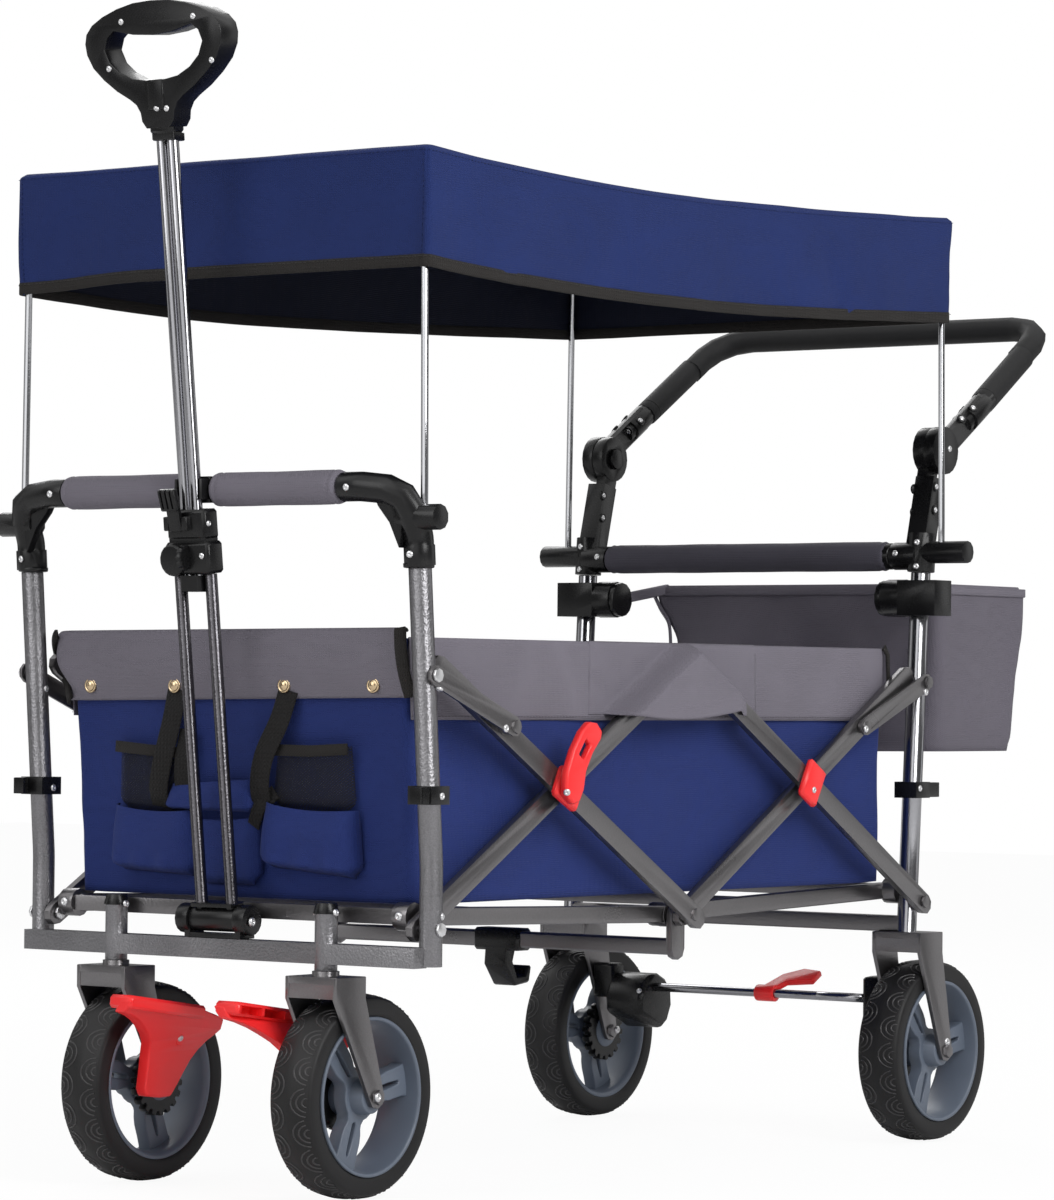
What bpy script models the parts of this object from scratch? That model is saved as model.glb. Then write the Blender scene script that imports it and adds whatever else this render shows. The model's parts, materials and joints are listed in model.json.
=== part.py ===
"""A folding wagon: a steel scissor frame between a front and a rear end frame, a fabric
basket and canopy, four moulded wheels, a telescopic pull handle and a push handlebar.

X is the width, Y the length with the pull handle at -Y, and Z is up from the floor.
Lengths are in metres and angles in degrees.
"""

import math

import bmesh
import bpy
from mathutils import Matrix, Vector

# Driving dimensions
CENTRE_SHIFT = -0.04625  # brings the middle of the whole length to Y = 0
GAP = 0.0004  # air between pieces that rest on each other

PIVOT_Z = 0.270  # lower rivets of the scissor bars
MIDDLE_Y = -0.041  # where the two pairs of crossing bars meet
BAY = 0.2275  # from a lower rivet to the next crossing, along Y
BAR_ANGLE = 30.0
BAR_ARM = BAY / math.cos(math.radians(BAR_ANGLE))
CROSS_Z = PIVOT_Z + BAR_ARM * math.sin(math.radians(BAR_ANGLE))
TOP_Z = PIVOT_Z + 2 * BAR_ARM * math.sin(math.radians(BAR_ANGLE))
FRONT_PIVOT_Y = MIDDLE_Y - 2 * BAY
REAR_PIVOT_Y = MIDDLE_Y + 2 * BAY
CROSS_FRONT_Y = MIDDLE_Y - BAY
CROSS_REAR_Y = MIDDLE_Y + BAY
BAR_HALF_WIDTH = 0.011
INNER_BARS_X = (0.2305, 0.2385)
OUTER_BARS_X = (0.2424, 0.2504)
PIN_RADIUS = 0.004
HOLE_RADIUS = 0.0044
HEAD_RADIUS = 0.0068
FRONT_BAR_TOP_ARM = 0.2475
REAR_BAR_TOP_ARM = 0.2300

FRONT_POST_X = 0.2515
FRONT_POST_RADIUS = 0.0115
FRONT_POST_Y = -0.496
FRONT_KINK_Z = 0.330
FRONT_TOP = (-0.5185, 0.6195)
FRAME_BOTTOM_Z = 0.234
CROSSBAR_Y = -0.5135
CROSSBAR_Z = 0.243
CROSSBAR_SIDE = 0.020
LINK_TOP_Z = 0.516
LINK_ARM = 0.1299  # from the crossing of the bars to the link's rivet

REAR_POST_X = 0.231
REAR_POST_RADIUS = 0.011
REAR_POST_FOOT = (0.409, 0.235)
REAR_POST_LEAN = 0.0609
REAR_POST_TOP_Z = 0.6395

CASTER_X = 0.136
CASTER_Y = CROSSBAR_Y
FRONT_WHEEL_Y = -0.471
REAR_WHEEL_X = 0.231
REAR_WHEEL_Y = 0.4445
WHEEL_RADIUS = 0.1015
TYRE_HALF_WIDTH = 0.025
RIM_RADIUS = 0.0785
AXLE_RADIUS = 0.005
WHEEL_SIDES = 24
FORK_INNER = 0.0275
FORK_OUTER = 0.0320
FORK_LENGTH = 0.0465
FRONT_CROWN = (0.199, 0.221)
REAR_CROWN = (0.213, 0.236)

TOP_BAR_Y = -0.5455
TOP_BAR_Z = 0.698
SLEEVE_RADIUS = 0.015
CANOPY_HALF_WIDTH = 0.2665
CANOPY_Y = (-0.532, 0.442)
CANOPY_TOP_Z = (1.024, 1.036)
CANOPY_DROP = 0.119
CLOTH = 0.0035
HOOP_RADIUS = 0.0038
HOOP_Y = (-0.5225, 0.4318)
HOOP_FOOT_X = 0.2590
HOOP_TOP_X = 0.2560

PULL_PIVOT = (-0.516, 0.272)
PULL_LEAN = 6.65
HUB_Y = 0.4645
HUB_Z = 0.779
HANDLEBAR_ANGLE = 32.4
HANDLEBAR_REACH = 0.2913
BAG_BOLT = (0.434, 0.611)
BRAKE_AXIS = (0.418, 0.158)
LEVER_PIVOT = (-0.461, 0.152)
FLOOR_Z = 0.281
FLOOR_FRONT_Y = -0.4885
FLOOR_REAR_Y = 0.4155
FLOOR_DROOP = 1.5
FLOOR_LENGTH = 0.4520


# Scene, collections and materials
for old in list(bpy.data.objects):
    bpy.data.objects.remove(old)

PARTS = bpy.data.collections.new("folding_wagon")
CUTTERS = bpy.data.collections.new("cutters")
bpy.context.scene.collection.children.link(PARTS)
bpy.context.scene.collection.children.link(CUTTERS)
ORIGIN = bpy.data.objects.new("wagon_origin", None)
ORIGIN.location = (0, CENTRE_SHIFT, 0)
PARTS.objects.link(ORIGIN)


def material(name, colour, roughness, metallic=0.0):
    """A Principled material with one colour and finish."""
    made = bpy.data.materials.new(name)
    made.use_nodes = True
    made.diffuse_color = (*colour, 1)
    shader = made.node_tree.nodes["Principled BSDF"]
    shader.inputs["Base Color"].default_value = (*colour, 1)
    shader.inputs["Roughness"].default_value = roughness
    shader.inputs["Metallic"].default_value = metallic
    return made


HAMMERED = material("hammered_grey", (0.19, 0.19, 0.20), 0.38, 0.7)
GUNMETAL = material("gunmetal", (0.10, 0.095, 0.088), 0.42, 0.6)
CHROME = material("chrome", (0.62, 0.62, 0.62), 0.16, 1.0)
BLACK = material("black_plastic", (0.017, 0.016, 0.017), 0.45)
RED = material("red_plastic", (0.80, 0.03, 0.028), 0.38)
RUBBER = material("tyre_rubber", (0.014, 0.014, 0.014), 0.62)
RIM_GREY = material("rim_plastic", (0.128, 0.15, 0.19), 0.5)
FOAM = material("foam_grip", (0.016, 0.016, 0.017), 0.85)
NAVY = material("navy_cloth", (0.020, 0.036, 0.150), 0.85)
GREY_CLOTH = material("grey_cloth", (0.155, 0.145, 0.175), 0.88)


# Shape helpers. Every helper works in wagon coordinates and returns a mesh object.
def meshed(obj):
    """The object as the depsgraph evaluates it, as a plain welded mesh."""
    CUTTERS.objects.link(obj)
    bpy.context.view_layer.update()
    graph = bpy.context.evaluated_depsgraph_get()
    mesh = bpy.data.meshes.new_from_object(obj.evaluated_get(graph))
    mesh.transform(obj.matrix_world)
    bpy.data.objects.remove(obj)
    work = bmesh.new()
    work.from_mesh(mesh)
    bmesh.ops.remove_doubles(work, verts=work.verts, dist=1e-6)
    bmesh.ops.recalc_face_normals(work, faces=work.faces)
    work.to_mesh(mesh)
    work.free()
    mesh.materials.clear()
    return bpy.data.objects.new("shape", mesh)


def bevelled(obj, width, segments=1, angle=40):
    """The object with its sharp edges rounded off."""
    edge = obj.modifiers.new("bevel", "BEVEL")
    edge.width = width
    edge.segments = segments
    edge.limit_method = "ANGLE"
    edge.angle_limit = math.radians(angle)
    return meshed(obj)


def block(size, centre, bevel=0.0, tilt=0.0):
    """A box, turned about X through its centre by tilt degrees."""
    mesh = bpy.data.meshes.new("block")
    work = bmesh.new()
    bmesh.ops.create_cube(work, size=1)
    bmesh.ops.scale(work, vec=size, verts=work.verts)
    work.to_mesh(mesh)
    work.free()
    obj = bpy.data.objects.new("block", mesh)
    if bevel:
        obj = bevelled(obj, bevel)
    turn = Matrix.Rotation(math.radians(tilt), 4, "X")
    obj.data.transform(Matrix.Translation(centre) @ turn)
    return obj


def cylinder(start, end, radius, end_radius=None, sides=16):
    """A round bar or a cone between two points."""
    start = Vector(start)
    along = Vector(end) - start
    mesh = bpy.data.meshes.new("cylinder")
    work = bmesh.new()
    bmesh.ops.create_cone(
        work,
        cap_ends=True,
        segments=sides,
        radius1=radius,
        radius2=radius if end_radius is None else end_radius,
        depth=along.length,
    )
    work.to_mesh(mesh)
    work.free()
    turn = along.to_track_quat("Z", "Y").to_matrix().to_4x4()
    mesh.transform(Matrix.Translation(start + along / 2) @ turn)
    return bpy.data.objects.new("cylinder", mesh)


def rod(points, radius, sides=12, cyclic=False):
    """A round tube along a line of points."""
    curve = bpy.data.curves.new("rod", "CURVE")
    curve.dimensions = "3D"
    curve.bevel_depth = radius
    curve.bevel_resolution = (sides - 4) // 2
    curve.use_fill_caps = not cyclic
    spline = curve.splines.new("POLY")
    spline.points.add(len(points) - 1)
    for knot, place in zip(spline.points, points):
        knot.co = (*place, 1)
    spline.use_cyclic_u = cyclic
    return meshed(bpy.data.objects.new("rod", curve))


def rounded(points, radius, steps=4):
    """The line of points with each inner corner replaced by an arc of this radius."""
    points = [Vector(point) for point in points]
    line = [points[0]]
    for before, corner, after in zip(points, points[1:], points[2:]):
        back = (before - corner).normalized()
        ahead = (after - corner).normalized()
        half = back.angle(ahead) / 2
        reach = radius / math.tan(half)
        centre = corner + (back + ahead).normalized() * radius / math.sin(half)
        first = corner + back * reach - centre
        last = corner + ahead * reach - centre
        for step in range(steps + 1):
            spoke = first.normalized().slerp(last.normalized(), step / steps)
            line.append(centre + spoke * radius)
    line.append(points[-1])
    return line


PLANES = {
    "YZ": Matrix(((0, 0, 1, 0), (1, 0, 0, 0), (0, 1, 0, 0), (0, 0, 0, 1))),
    "XZ": Matrix(((1, 0, 0, 0), (0, 0, -1, 0), (0, 1, 0, 0), (0, 0, 0, 1))),
    "XY": Matrix.Identity(4),
}


def plate(outline, thickness, at, plane="YZ", holes=(), bevel=0.0):
    """A flat plate with holes. Its outline lies in the plane, and at is its mid plane."""
    curve = bpy.data.curves.new("plate", "CURVE")
    curve.dimensions = "2D"
    curve.fill_mode = "BOTH"
    curve.extrude = thickness / 2
    for loop in (outline, *holes):
        spline = curve.splines.new("POLY")
        spline.points.add(len(loop) - 1)
        for knot, (across, up) in zip(spline.points, loop):
            knot.co = (across, up, 0, 1)
        spline.use_cyclic_u = True
    obj = meshed(bpy.data.objects.new("plate", curve))
    if bevel:
        obj = bevelled(obj, bevel)
    away = {"YZ": (at, 0, 0), "XZ": (0, at, 0), "XY": (0, 0, at)}[plane]
    obj.data.transform(Matrix.Translation(away) @ PLANES[plane])
    return obj


def turned(profile, sides=32, closed=True):
    """A ring or a solid turned about Z from (radius, height) points."""
    mesh = bpy.data.meshes.new("profile")
    ends = [(index, index + 1) for index in range(len(profile) - 1)]
    if closed:
        ends.append((len(profile) - 1, 0))
    mesh.from_pydata([(radius, 0, height) for radius, height in profile], ends, [])
    obj = bpy.data.objects.new("turned", mesh)
    spin = obj.modifiers.new("spin", "SCREW")
    spin.steps = spin.render_steps = sides
    spin.use_merge_vertices = True
    spin.merge_threshold = 0.00001
    return meshed(obj)


TO_X = Matrix.Rotation(math.radians(90), 4, "Y")  # turns Z into X


def arc(centre, radius, start, end, steps):
    """Points on an arc, from the start angle to the end angle in degrees."""
    turns = [math.radians(start + (end - start) * step / steps) for step in range(steps + 1)]
    return [
        (centre[0] + radius * math.cos(turn), centre[1] + radius * math.sin(turn))
        for turn in turns
    ]


def circle(centre, radius, steps=10):
    """Points round a circle."""
    return arc(centre, radius, 0, 360 - 360 / steps, steps - 1)


def stadium(start, end, radius, end_radius=None, steps=4):
    """The outline of a bar with round ends between two points."""
    lean = math.degrees(math.atan2(end[1] - start[1], end[0] - start[0]))
    last = radius if end_radius is None else end_radius
    return arc(end, last, lean - 90, lean + 90, steps) + arc(start, radius, lean + 90, lean + 270, steps)


def mirrored(side, points):
    """The points on the side asked for: 1 is +X and -1 is -X."""
    return [(side * x, y, z) for x, y, z in points]


def joined(base, *others, operation="UNION"):
    """The base with the other shapes joined to it, or cut from it."""
    for other in others:
        CUTTERS.objects.link(other)
        cut = base.modifiers.new("join", "BOOLEAN")
        cut.operation = operation
        cut.object = other
    made = meshed(base)
    for other in others:
        bpy.data.objects.remove(other)
    work = bmesh.new()
    work.from_mesh(made.data)
    bmesh.ops.dissolve_limit(work, angle_limit=math.radians(0.1), verts=work.verts, edges=work.edges)
    work.to_mesh(made.data)
    work.free()
    return made


def cut_from(base, *others):
    """The base with the other shapes taken away from it."""
    return joined(base, *others, operation="DIFFERENCE")


def node(name, obj, finish, pivot=(0, 0, 0), angle=35):
    """Makes the shape a named piece, with its origin on its joint's axis."""
    obj.name = name
    obj.data.name = name
    obj.data.transform(Matrix.Translation(-Vector(pivot)))
    obj.location = pivot
    obj.data.materials.append(finish)
    obj.data.shade_smooth()
    obj.data.set_sharp_from_angle(angle=math.radians(angle))
    PARTS.objects.link(obj)
    obj.parent = ORIGIN
    return obj


def rivet(side, start_x, end_x, y, z, head_at=None, head_length=0.0028):
    """A pin along X with a head at one end, as one turned shape."""
    low, high = sorted((start_x, end_x))
    profile = [(0, high), (PIN_RADIUS, high), (PIN_RADIUS, low), (0, low)]
    if head_at == "outer":
        head = high - head_length
        profile = [(0, high), (HEAD_RADIUS, high), (HEAD_RADIUS, head), (PIN_RADIUS, head),
                   (PIN_RADIUS, low), (0, low)]
    if head_at == "inner":
        head = low + head_length
        profile = [(0, high), (PIN_RADIUS, high), (PIN_RADIUS, head), (HEAD_RADIUS, head),
                   (HEAD_RADIUS, low), (0, low)]
    obj = turned(profile, sides=8, closed=False)
    turn = TO_X if side > 0 else Matrix.Rotation(math.radians(-90), 4, "Y")
    obj.data.transform(Matrix.Translation((0, y, z)) @ turn)
    return obj


def along_bar(centre_y, arm, rising=1):
    """A point on a bar through a crossing, arm metres from it towards +Y."""
    turn = math.radians(BAR_ANGLE)
    return (centre_y + arm * math.cos(turn), CROSS_Z + rising * arm * math.sin(turn))


def post_y(z):
    """The front post's middle at this height: upright, then leaning forwards."""
    if z <= FRONT_KINK_Z:
        return FRONT_POST_Y
    share = (z - FRONT_KINK_Z) / (FRONT_TOP[1] - FRONT_KINK_Z)
    return FRONT_POST_Y + share * (FRONT_TOP[0] - FRONT_POST_Y)


def rear_post_y(z):
    """The rear post's middle at this height."""
    return REAR_POST_FOOT[0] + (z - REAR_POST_FOOT[1]) * REAR_POST_LEAN


def post_clip(side, x, y, z, reach):
    """A moulded hook that grips a post and opens away from the wagon."""
    ring = block((0.029, 0.029, 0.018), (side * x, y, z))
    arm = block((0.007, abs(reach), 0.0165), (side * (x + 0.009), y + reach / 2, z))
    lip = block((0.013, 0.005, 0.0162), (side * (x + 0.0055), y + reach, z))
    return [ring, arm, lip]


# Front end frame
def front_frame():
    """Two leaning posts, a square crossbar and the tubes that the casters turn in."""
    shapes = []
    for side in (1, -1):
        foot = (side * FRONT_POST_X, FRONT_POST_Y, FRAME_BOTTOM_Z)
        kink = (side * FRONT_POST_X, FRONT_POST_Y, FRONT_KINK_Z)
        top = (side * FRONT_POST_X, *FRONT_TOP)
        shapes.append(rod(rounded([foot, kink, top], 0.10, 1), FRONT_POST_RADIUS))
        stem = side * CASTER_X
        shapes.append(cylinder((stem, CASTER_Y, 0.2265), (stem, CASTER_Y, 0.2825), 0.0115, sides=12))
        shapes.append(cylinder((stem, CASTER_Y, 0.2820), (stem, CASTER_Y, 0.2925), 0.0135, 0.0105, 12))
        outer = FRONT_POST_X + FRONT_POST_RADIUS
        shapes.append(rivet(side, outer - 0.004, outer + 0.0024, FRONT_POST_Y, PIVOT_Z, "outer"))
        shapes.append(rivet(side, 0.2265, 0.2450, FRONT_POST_Y, PIVOT_Z, "inner"))
        link = post_y(LINK_TOP_Z)
        shapes.append(rivet(side, outer - 0.004, 0.2702, link, LINK_TOP_Z, "outer"))
        shapes += post_clip(side, FRONT_POST_X, post_y(0.400), 0.400, -0.026)
    bar = block((2 * 0.2525, CROSSBAR_SIDE, CROSSBAR_SIDE), (0, CROSSBAR_Y, CROSSBAR_Z))
    node("front_frame", joined(bar, *shapes), HAMMERED)


def top_bar():
    """The tube across the front with two padded sleeves and the clip for the pull handle."""
    tube = cylinder((-0.178, TOP_BAR_Y, TOP_BAR_Z), (0.178, TOP_BAR_Y, TOP_BAR_Z), 0.0105)
    shapes = []
    for side in (1, -1):
        start = (side * 0.0185, TOP_BAR_Y, TOP_BAR_Z)
        end = (side * 0.1755, TOP_BAR_Y, TOP_BAR_Z)
        shapes.append(cylinder(start, end, SLEEVE_RADIUS, sides=14))
        shapes.append(block((0.0035, 0.014, 0.020), (side * 0.0158, TOP_BAR_Y - 0.0165, TOP_BAR_Z)))
    shapes.append(block((0.0350, 0.010, 0.026), (0, TOP_BAR_Y - 0.0055, TOP_BAR_Z)))
    node("top_bar", joined(tube, *shapes), BLACK)


def elbow(side, name):
    """The moulded corner between a front post and the top bar, with a canopy socket."""
    z = TOP_BAR_Z
    line = [
        (FRONT_POST_X, FRONT_TOP[0] - 0.0002, FRONT_TOP[1] + 0.0022),
        (FRONT_POST_X, FRONT_TOP[0] - 0.0024, FRONT_TOP[1] + 0.0300),
        (FRONT_POST_X - 0.001, -0.5385, z - 0.005),
        (0.2000, TOP_BAR_Y, z),
        (0.1785, TOP_BAR_Y, z),
    ]
    bend = rod(rounded(mirrored(side, line), 0.026, 2), 0.0145, 12)
    web = plate(
        [(side * 0.2410, 0.6385), (side * 0.2470, 0.6830), (side * 0.2070, 0.6935),
         (side * 0.2150, 0.6790), (side * 0.2290, 0.6630)],
        0.0092, -0.5342, "XZ",
    )
    collar_low = (side * FRONT_POST_X, FRONT_TOP[0] - 0.0002, FRONT_TOP[1] + 0.0024)
    collar_high = (side * FRONT_POST_X, FRONT_TOP[0] - 0.0017, FRONT_TOP[1] + 0.0220)
    collar = cylinder(collar_low, collar_high, 0.0160, sides=10)
    socket = cylinder((side * 0.236, -0.529, 0.668), (side * 0.284, -0.529, 0.668), 0.0125, sides=10)
    bore = cylinder((side * HOOP_FOOT_X, HOOP_Y[0], 0.6700), (side * HOOP_FOOT_X, HOOP_Y[0], 0.7000),
                    HOOP_RADIUS + GAP, sides=8)
    node(name, cut_from(joined(bend, web, collar, socket), bore), BLACK)


def canopy_hoop(name, y, bottom_z, top_z):
    """A bent rod with a leg in each socket and its crossbar under the canopy."""
    low = bottom_z + 0.030
    line = [(HOOP_FOOT_X, y, bottom_z), (HOOP_FOOT_X, y, low), (HOOP_TOP_X, y, top_z)]
    line += [(-x, y, z) for x, y, z in reversed(line)]
    node(name, rod(rounded(line, 0.018, 2), HOOP_RADIUS, 8), CHROME)


# Casters and wheels
def fork_leg(x, wheel_y, crown_y, crown_z):
    """One tapered leg, from the crown down to the axle."""
    axle = (wheel_y, WHEEL_RADIUS)
    front = crown_y - FORK_LENGTH / 2
    top = crown_z[1] - 0.0005
    outline = [(front, top), (front, crown_z[0])]
    outline += arc(axle, 0.0115, 190, 370, 4)
    outline += [(front + FORK_LENGTH, crown_z[0]), (front + FORK_LENGTH, top)]
    return plate(outline, FORK_OUTER - FORK_INNER, x)


def fork_shapes(x, wheel_y, crown_y, crown_z):
    """A pressed fork, open below and behind, with its axle."""
    middle = (FORK_INNER + FORK_OUTER) / 2
    width = 2 * FORK_OUTER - 0.0008
    top = block((width, FORK_LENGTH - 0.0006, 0.007), (x, crown_y, crown_z[1] - 0.0035))
    flange_y = crown_y - FORK_LENGTH / 2 + 0.002
    flange_height = crown_z[1] - crown_z[0] - 0.0016
    flange = block((width - 0.0004, 0.004, flange_height), (x, flange_y + 0.0006, sum(crown_z) / 2))
    legs = [fork_leg(x + way * middle, wheel_y, crown_y, crown_z) for way in (1, -1)]
    reach = FORK_OUTER + 0.0042
    axle = cylinder((x - reach, wheel_y, WHEEL_RADIUS), (x + reach, wheel_y, WHEEL_RADIUS),
                    AXLE_RADIUS, sides=10)
    heads = [
        cylinder((x + way * (FORK_OUTER - 0.001), wheel_y, WHEEL_RADIUS),
                 (x + way * reach, wheel_y, WHEEL_RADIUS), 0.0075, sides=6)
        for way in (1, -1)
    ]
    return [top, flange, *legs, axle, *heads]


def front_fork(side, name):
    """The caster's fork, turning under its tube on the crossbar."""
    x = side * CASTER_X
    top, *rest = fork_shapes(x, FRONT_WHEEL_Y, CASTER_Y, FRONT_CROWN)
    washer = cylinder((x, CASTER_Y, FRONT_CROWN[1] - 0.001), (x, CASTER_Y, 0.2260), 0.0135, sides=14)
    node(name, joined(top, washer, *rest), GUNMETAL, (x, CASTER_Y, FRONT_CROWN[1]))


def tyre_mesh():
    """A wide tyre with a flat tread and round shoulders, turned about X."""
    half = TYRE_HALF_WIDTH
    bore = RIM_RADIUS + GAP
    side = [(WHEEL_RADIUS, 0.0150), (0.0985, 0.0215), (0.0930, half), (bore, half)]
    profile = side + [(radius, -height) for radius, height in reversed(side)]
    made = turned(profile, sides=WHEEL_SIDES)
    made.data.transform(TO_X)
    return made.data


def rim_mesh():
    """The moulded rim: a barrel, a hub, three slotted double spokes and the brake's toothed ring."""
    barrel = turned([(RIM_RADIUS, 0.0255), (RIM_RADIUS, -0.0245), (0.0705, -0.0245), (0.0705, 0.0255)],
                    WHEEL_SIDES)
    hub = turned([(0.0185, 0.0268), (0.0185, -0.0262), (AXLE_RADIUS + 0.0003, -0.0262),
                  (AXLE_RADIUS + 0.0003, 0.0268)], 10)
    windows = []
    for spoke in range(3):
        start = 120 * spoke
        outer = arc((0, 0), 0.0660, start + 13, start + 107, 4)
        inner = arc((0, 0), 0.0270, start + 82, start + 38, 2)
        windows.append(outer + inner)
        turn = math.radians(start)
        ray = (math.cos(turn), math.sin(turn))
        slot = [(ray[0] * reach, ray[1] * reach) for reach in (0.032, 0.060)]
        windows.append(stadium(slot[0], slot[1], 0.0022, 0.0034, steps=1))
    web = plate(circle((0, 0), 0.0740, 16), 0.011, 0.0140, "XY", [circle((0, 0), 0.012, 6), *windows])
    teeth = []
    for tooth in range(10):
        start = 36 * tooth
        teeth += arc((0, 0), 0.0340, start, start + 18, 1) + arc((0, 0), 0.0270, start + 20, start + 34, 1)
    ring = plate(teeth, 0.010, -0.0190, "XY", [circle((0, 0), 0.012, 6)])
    made = joined(barrel, web, hub, ring)
    made.data.transform(TO_X)
    return made.data


def wheel(place, side, x, y, tyre, rim):
    """A tyre and its rim on one axle, with the toothed ring towards the middle."""
    for kind, mesh, finish in (("tyre", tyre, RUBBER), ("rim", rim, RIM_GREY)):
        piece = bpy.data.objects.new("piece", mesh.copy())
        if side < 0:
            piece.data.transform(Matrix.Rotation(math.pi, 4, "Z"))
        piece.data.transform(Matrix.Translation((x, y, WHEEL_RADIUS)))
        node(f"{place}_{kind}", piece, finish, (x, y, WHEEL_RADIUS))


def gusset_lean(z):
    """How far the face of a foot pedal stands towards the middle of the wagon at a height."""
    share = min(1.0, max(0.0, (z - 0.130) / 0.060))
    return 0.036 * share ** 1.25


def front_brake(side, name):
    """The red foot pedal: a ribbed step on a broad web, whose foot locks the toothed ring."""
    inner = CASTER_X - FORK_OUTER - 0.0077
    outline = [(-0.585, 0.192), (-0.586, 0.180), (-0.568, 0.1750), (-0.5535, 0.1690), (-0.5420, 0.1625),
               (-0.5295, 0.1545), (-0.5200, 0.1450), (-0.5160, 0.1340), (-0.5160, 0.1220), (-0.5200, 0.0985),
               (-0.5165, 0.0905), (-0.4969, 0.0880), (-0.4800, 0.0885), (-0.4698, 0.0995), (-0.4600, 0.1116),
               (-0.4496, 0.1236), (-0.4396, 0.1328), (-0.4300, 0.1420), (-0.4212, 0.1480), (-0.4154, 0.1530),
               (-0.4190, 0.1640), (-0.4350, 0.1695), (-0.4563, 0.1751), (-0.5095, 0.1846), (-0.5400, 0.1890)]
    web = plate(outline, 0.0140, side * inner, bevel=0.0025)
    for vert in web.data.vertices:
        vert.co.x -= side * gusset_lean(vert.co.z)
    step = block((0.0300, 0.118, 0.0135), (side * 0.0685, -0.5262, 0.1822), 0.003, -8.0)
    pockets = [block((0.0200, 0.032, 0.0080), (side * 0.0765, y, z), 0.0, -8.0)
               for y, z in ((-0.5625, 0.1868), (-0.5270, 0.1818))]
    screw_pad = cylinder((side * (inner - 0.0135), -0.4740, 0.1460),
                         (side * (inner - 0.002), -0.4740, 0.1460), 0.0065, 0.0085, 10)
    axle_well = cylinder((side * (inner + 0.0030), FRONT_WHEEL_Y, WHEEL_RADIUS),
                         (side * (inner + 0.0200), FRONT_WHEEL_Y, WHEEL_RADIUS), 0.0125, sides=12)
    body = cut_from(joined(step, web, screw_pad), *pockets, axle_well)
    node(name, body, RED, (side * inner, *LEVER_PIVOT))


# Rear end frame
def rear_frame():
    """Two leaning posts, a crossbar and the two fixed forks welded under the posts."""
    shapes = []
    for side in (1, -1):
        x = side * REAR_POST_X
        foot = (x, *REAR_POST_FOOT)
        top = (x, rear_post_y(REAR_POST_TOP_Z), REAR_POST_TOP_Z)
        shapes.append(cylinder(foot, top, REAR_POST_RADIUS, sides=12))
        shapes += fork_shapes(side * REAR_WHEEL_X, REAR_WHEEL_Y, 0.411, REAR_CROWN)
        shapes.append(rivet(side, 0.2380, 0.2538, REAR_PIVOT_Y, PIVOT_Z, "outer"))
        shapes.append(rivet(side, 0.2380, 0.2492, rear_post_y(LINK_TOP_Z), LINK_TOP_Z, "outer"))
        shapes += post_clip(side, REAR_POST_X, rear_post_y(0.395), 0.395, 0.036)
    bar = block((2 * REAR_POST_X, 0.018, 0.018), (0, 0.4095, 0.2445), 0.002)
    node("rear_frame", joined(bar, *shapes), HAMMERED)


def handle_column(side, name):
    """The moulded tee on a rear post, its canopy socket, and the column up to the hub."""
    x = side * REAR_POST_X
    low_y = rear_post_y(REAR_POST_TOP_Z)
    tee = cylinder((x, low_y, REAR_POST_TOP_Z + 0.0012), (x, low_y + 0.003, 0.684), 0.0155, sides=12)
    socket = cylinder((side * 0.236, 0.433, 0.6625), (side * 0.293, 0.433, 0.6625), 0.0125, sides=12)
    collar = cylinder((side * 0.1975, 0.432, 0.6585), (x, 0.432, 0.6585), 0.0155, sides=12)
    lean = math.degrees(math.atan2(HUB_Y - low_y, HUB_Z - 0.66))
    column = block((0.024, 0.024, 0.086), (side * 0.2280, 0.4465, 0.7050), 0, -lean)
    neck = block((0.0130, 0.022, 0.060), (side * 0.2232, 0.4580, 0.7500), 0, -lean)
    hub = cylinder((side * 0.2160, HUB_Y, HUB_Z), (side * 0.2300, HUB_Y, HUB_Z), 0.0265, sides=20)
    well = cylinder((side * 0.2100, HUB_Y, HUB_Z), (side * 0.2245, HUB_Y, HUB_Z), 0.0125, sides=14)
    bore = cylinder((side * HOOP_FOOT_X, HOOP_Y[1], 0.6650), (side * HOOP_FOOT_X, HOOP_Y[1], 0.7000),
                    HOOP_RADIUS + GAP, sides=8)
    node(name, cut_from(joined(column, tee, socket, collar, neck, hub), well, bore), BLACK)


def hub_button(side, name):
    """The round button in the middle of a hub's inner face."""
    outer = side * 0.2205
    inner = side * 0.2112
    shape = cylinder((inner, HUB_Y, HUB_Z), (outer, HUB_Y, HUB_Z), 0.0115, sides=14)
    node(name, shape, BLACK, (outer, HUB_Y, HUB_Z))


def handlebar_point(reach, x):
    """A point on the handlebar, reach metres from the hub."""
    turn = math.radians(HANDLEBAR_ANGLE)
    return (x, HUB_Y + reach * math.cos(turn), HUB_Z + reach * math.sin(turn))


def handlebar():
    """The U of tube with a moulded arm at each end, and its foam grip."""
    side_x = 0.2365
    line = [handlebar_point(0.060, side_x), handlebar_point(HANDLEBAR_REACH, side_x - 0.006),
            handlebar_point(HANDLEBAR_REACH, 0.006 - side_x), handlebar_point(0.060, -side_x)]
    tube = rod(rounded(line, 0.045, 3), 0.0105, 10)
    shapes = []
    for side in (1, -1):
        x = side * side_x
        shapes.append(cylinder((side * 0.2304, HUB_Y, HUB_Z), (side * 0.2440, HUB_Y, HUB_Z),
                               0.0270, sides=20))
        start = handlebar_point(0.012, x)
        end = handlebar_point(0.105, x)
        middle = [(one + two) / 2 for one, two in zip(start, end)]
        shapes.append(block((0.0115, 0.093, 0.030), middle, 0.003, HANDLEBAR_ANGLE))
        shapes.append(cylinder(handlebar_point(0.070, x), handlebar_point(0.118, x), 0.0135, sides=12))
    node("handlebar", joined(tube, *shapes), GUNMETAL, (0, HUB_Y, HUB_Z))


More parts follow.
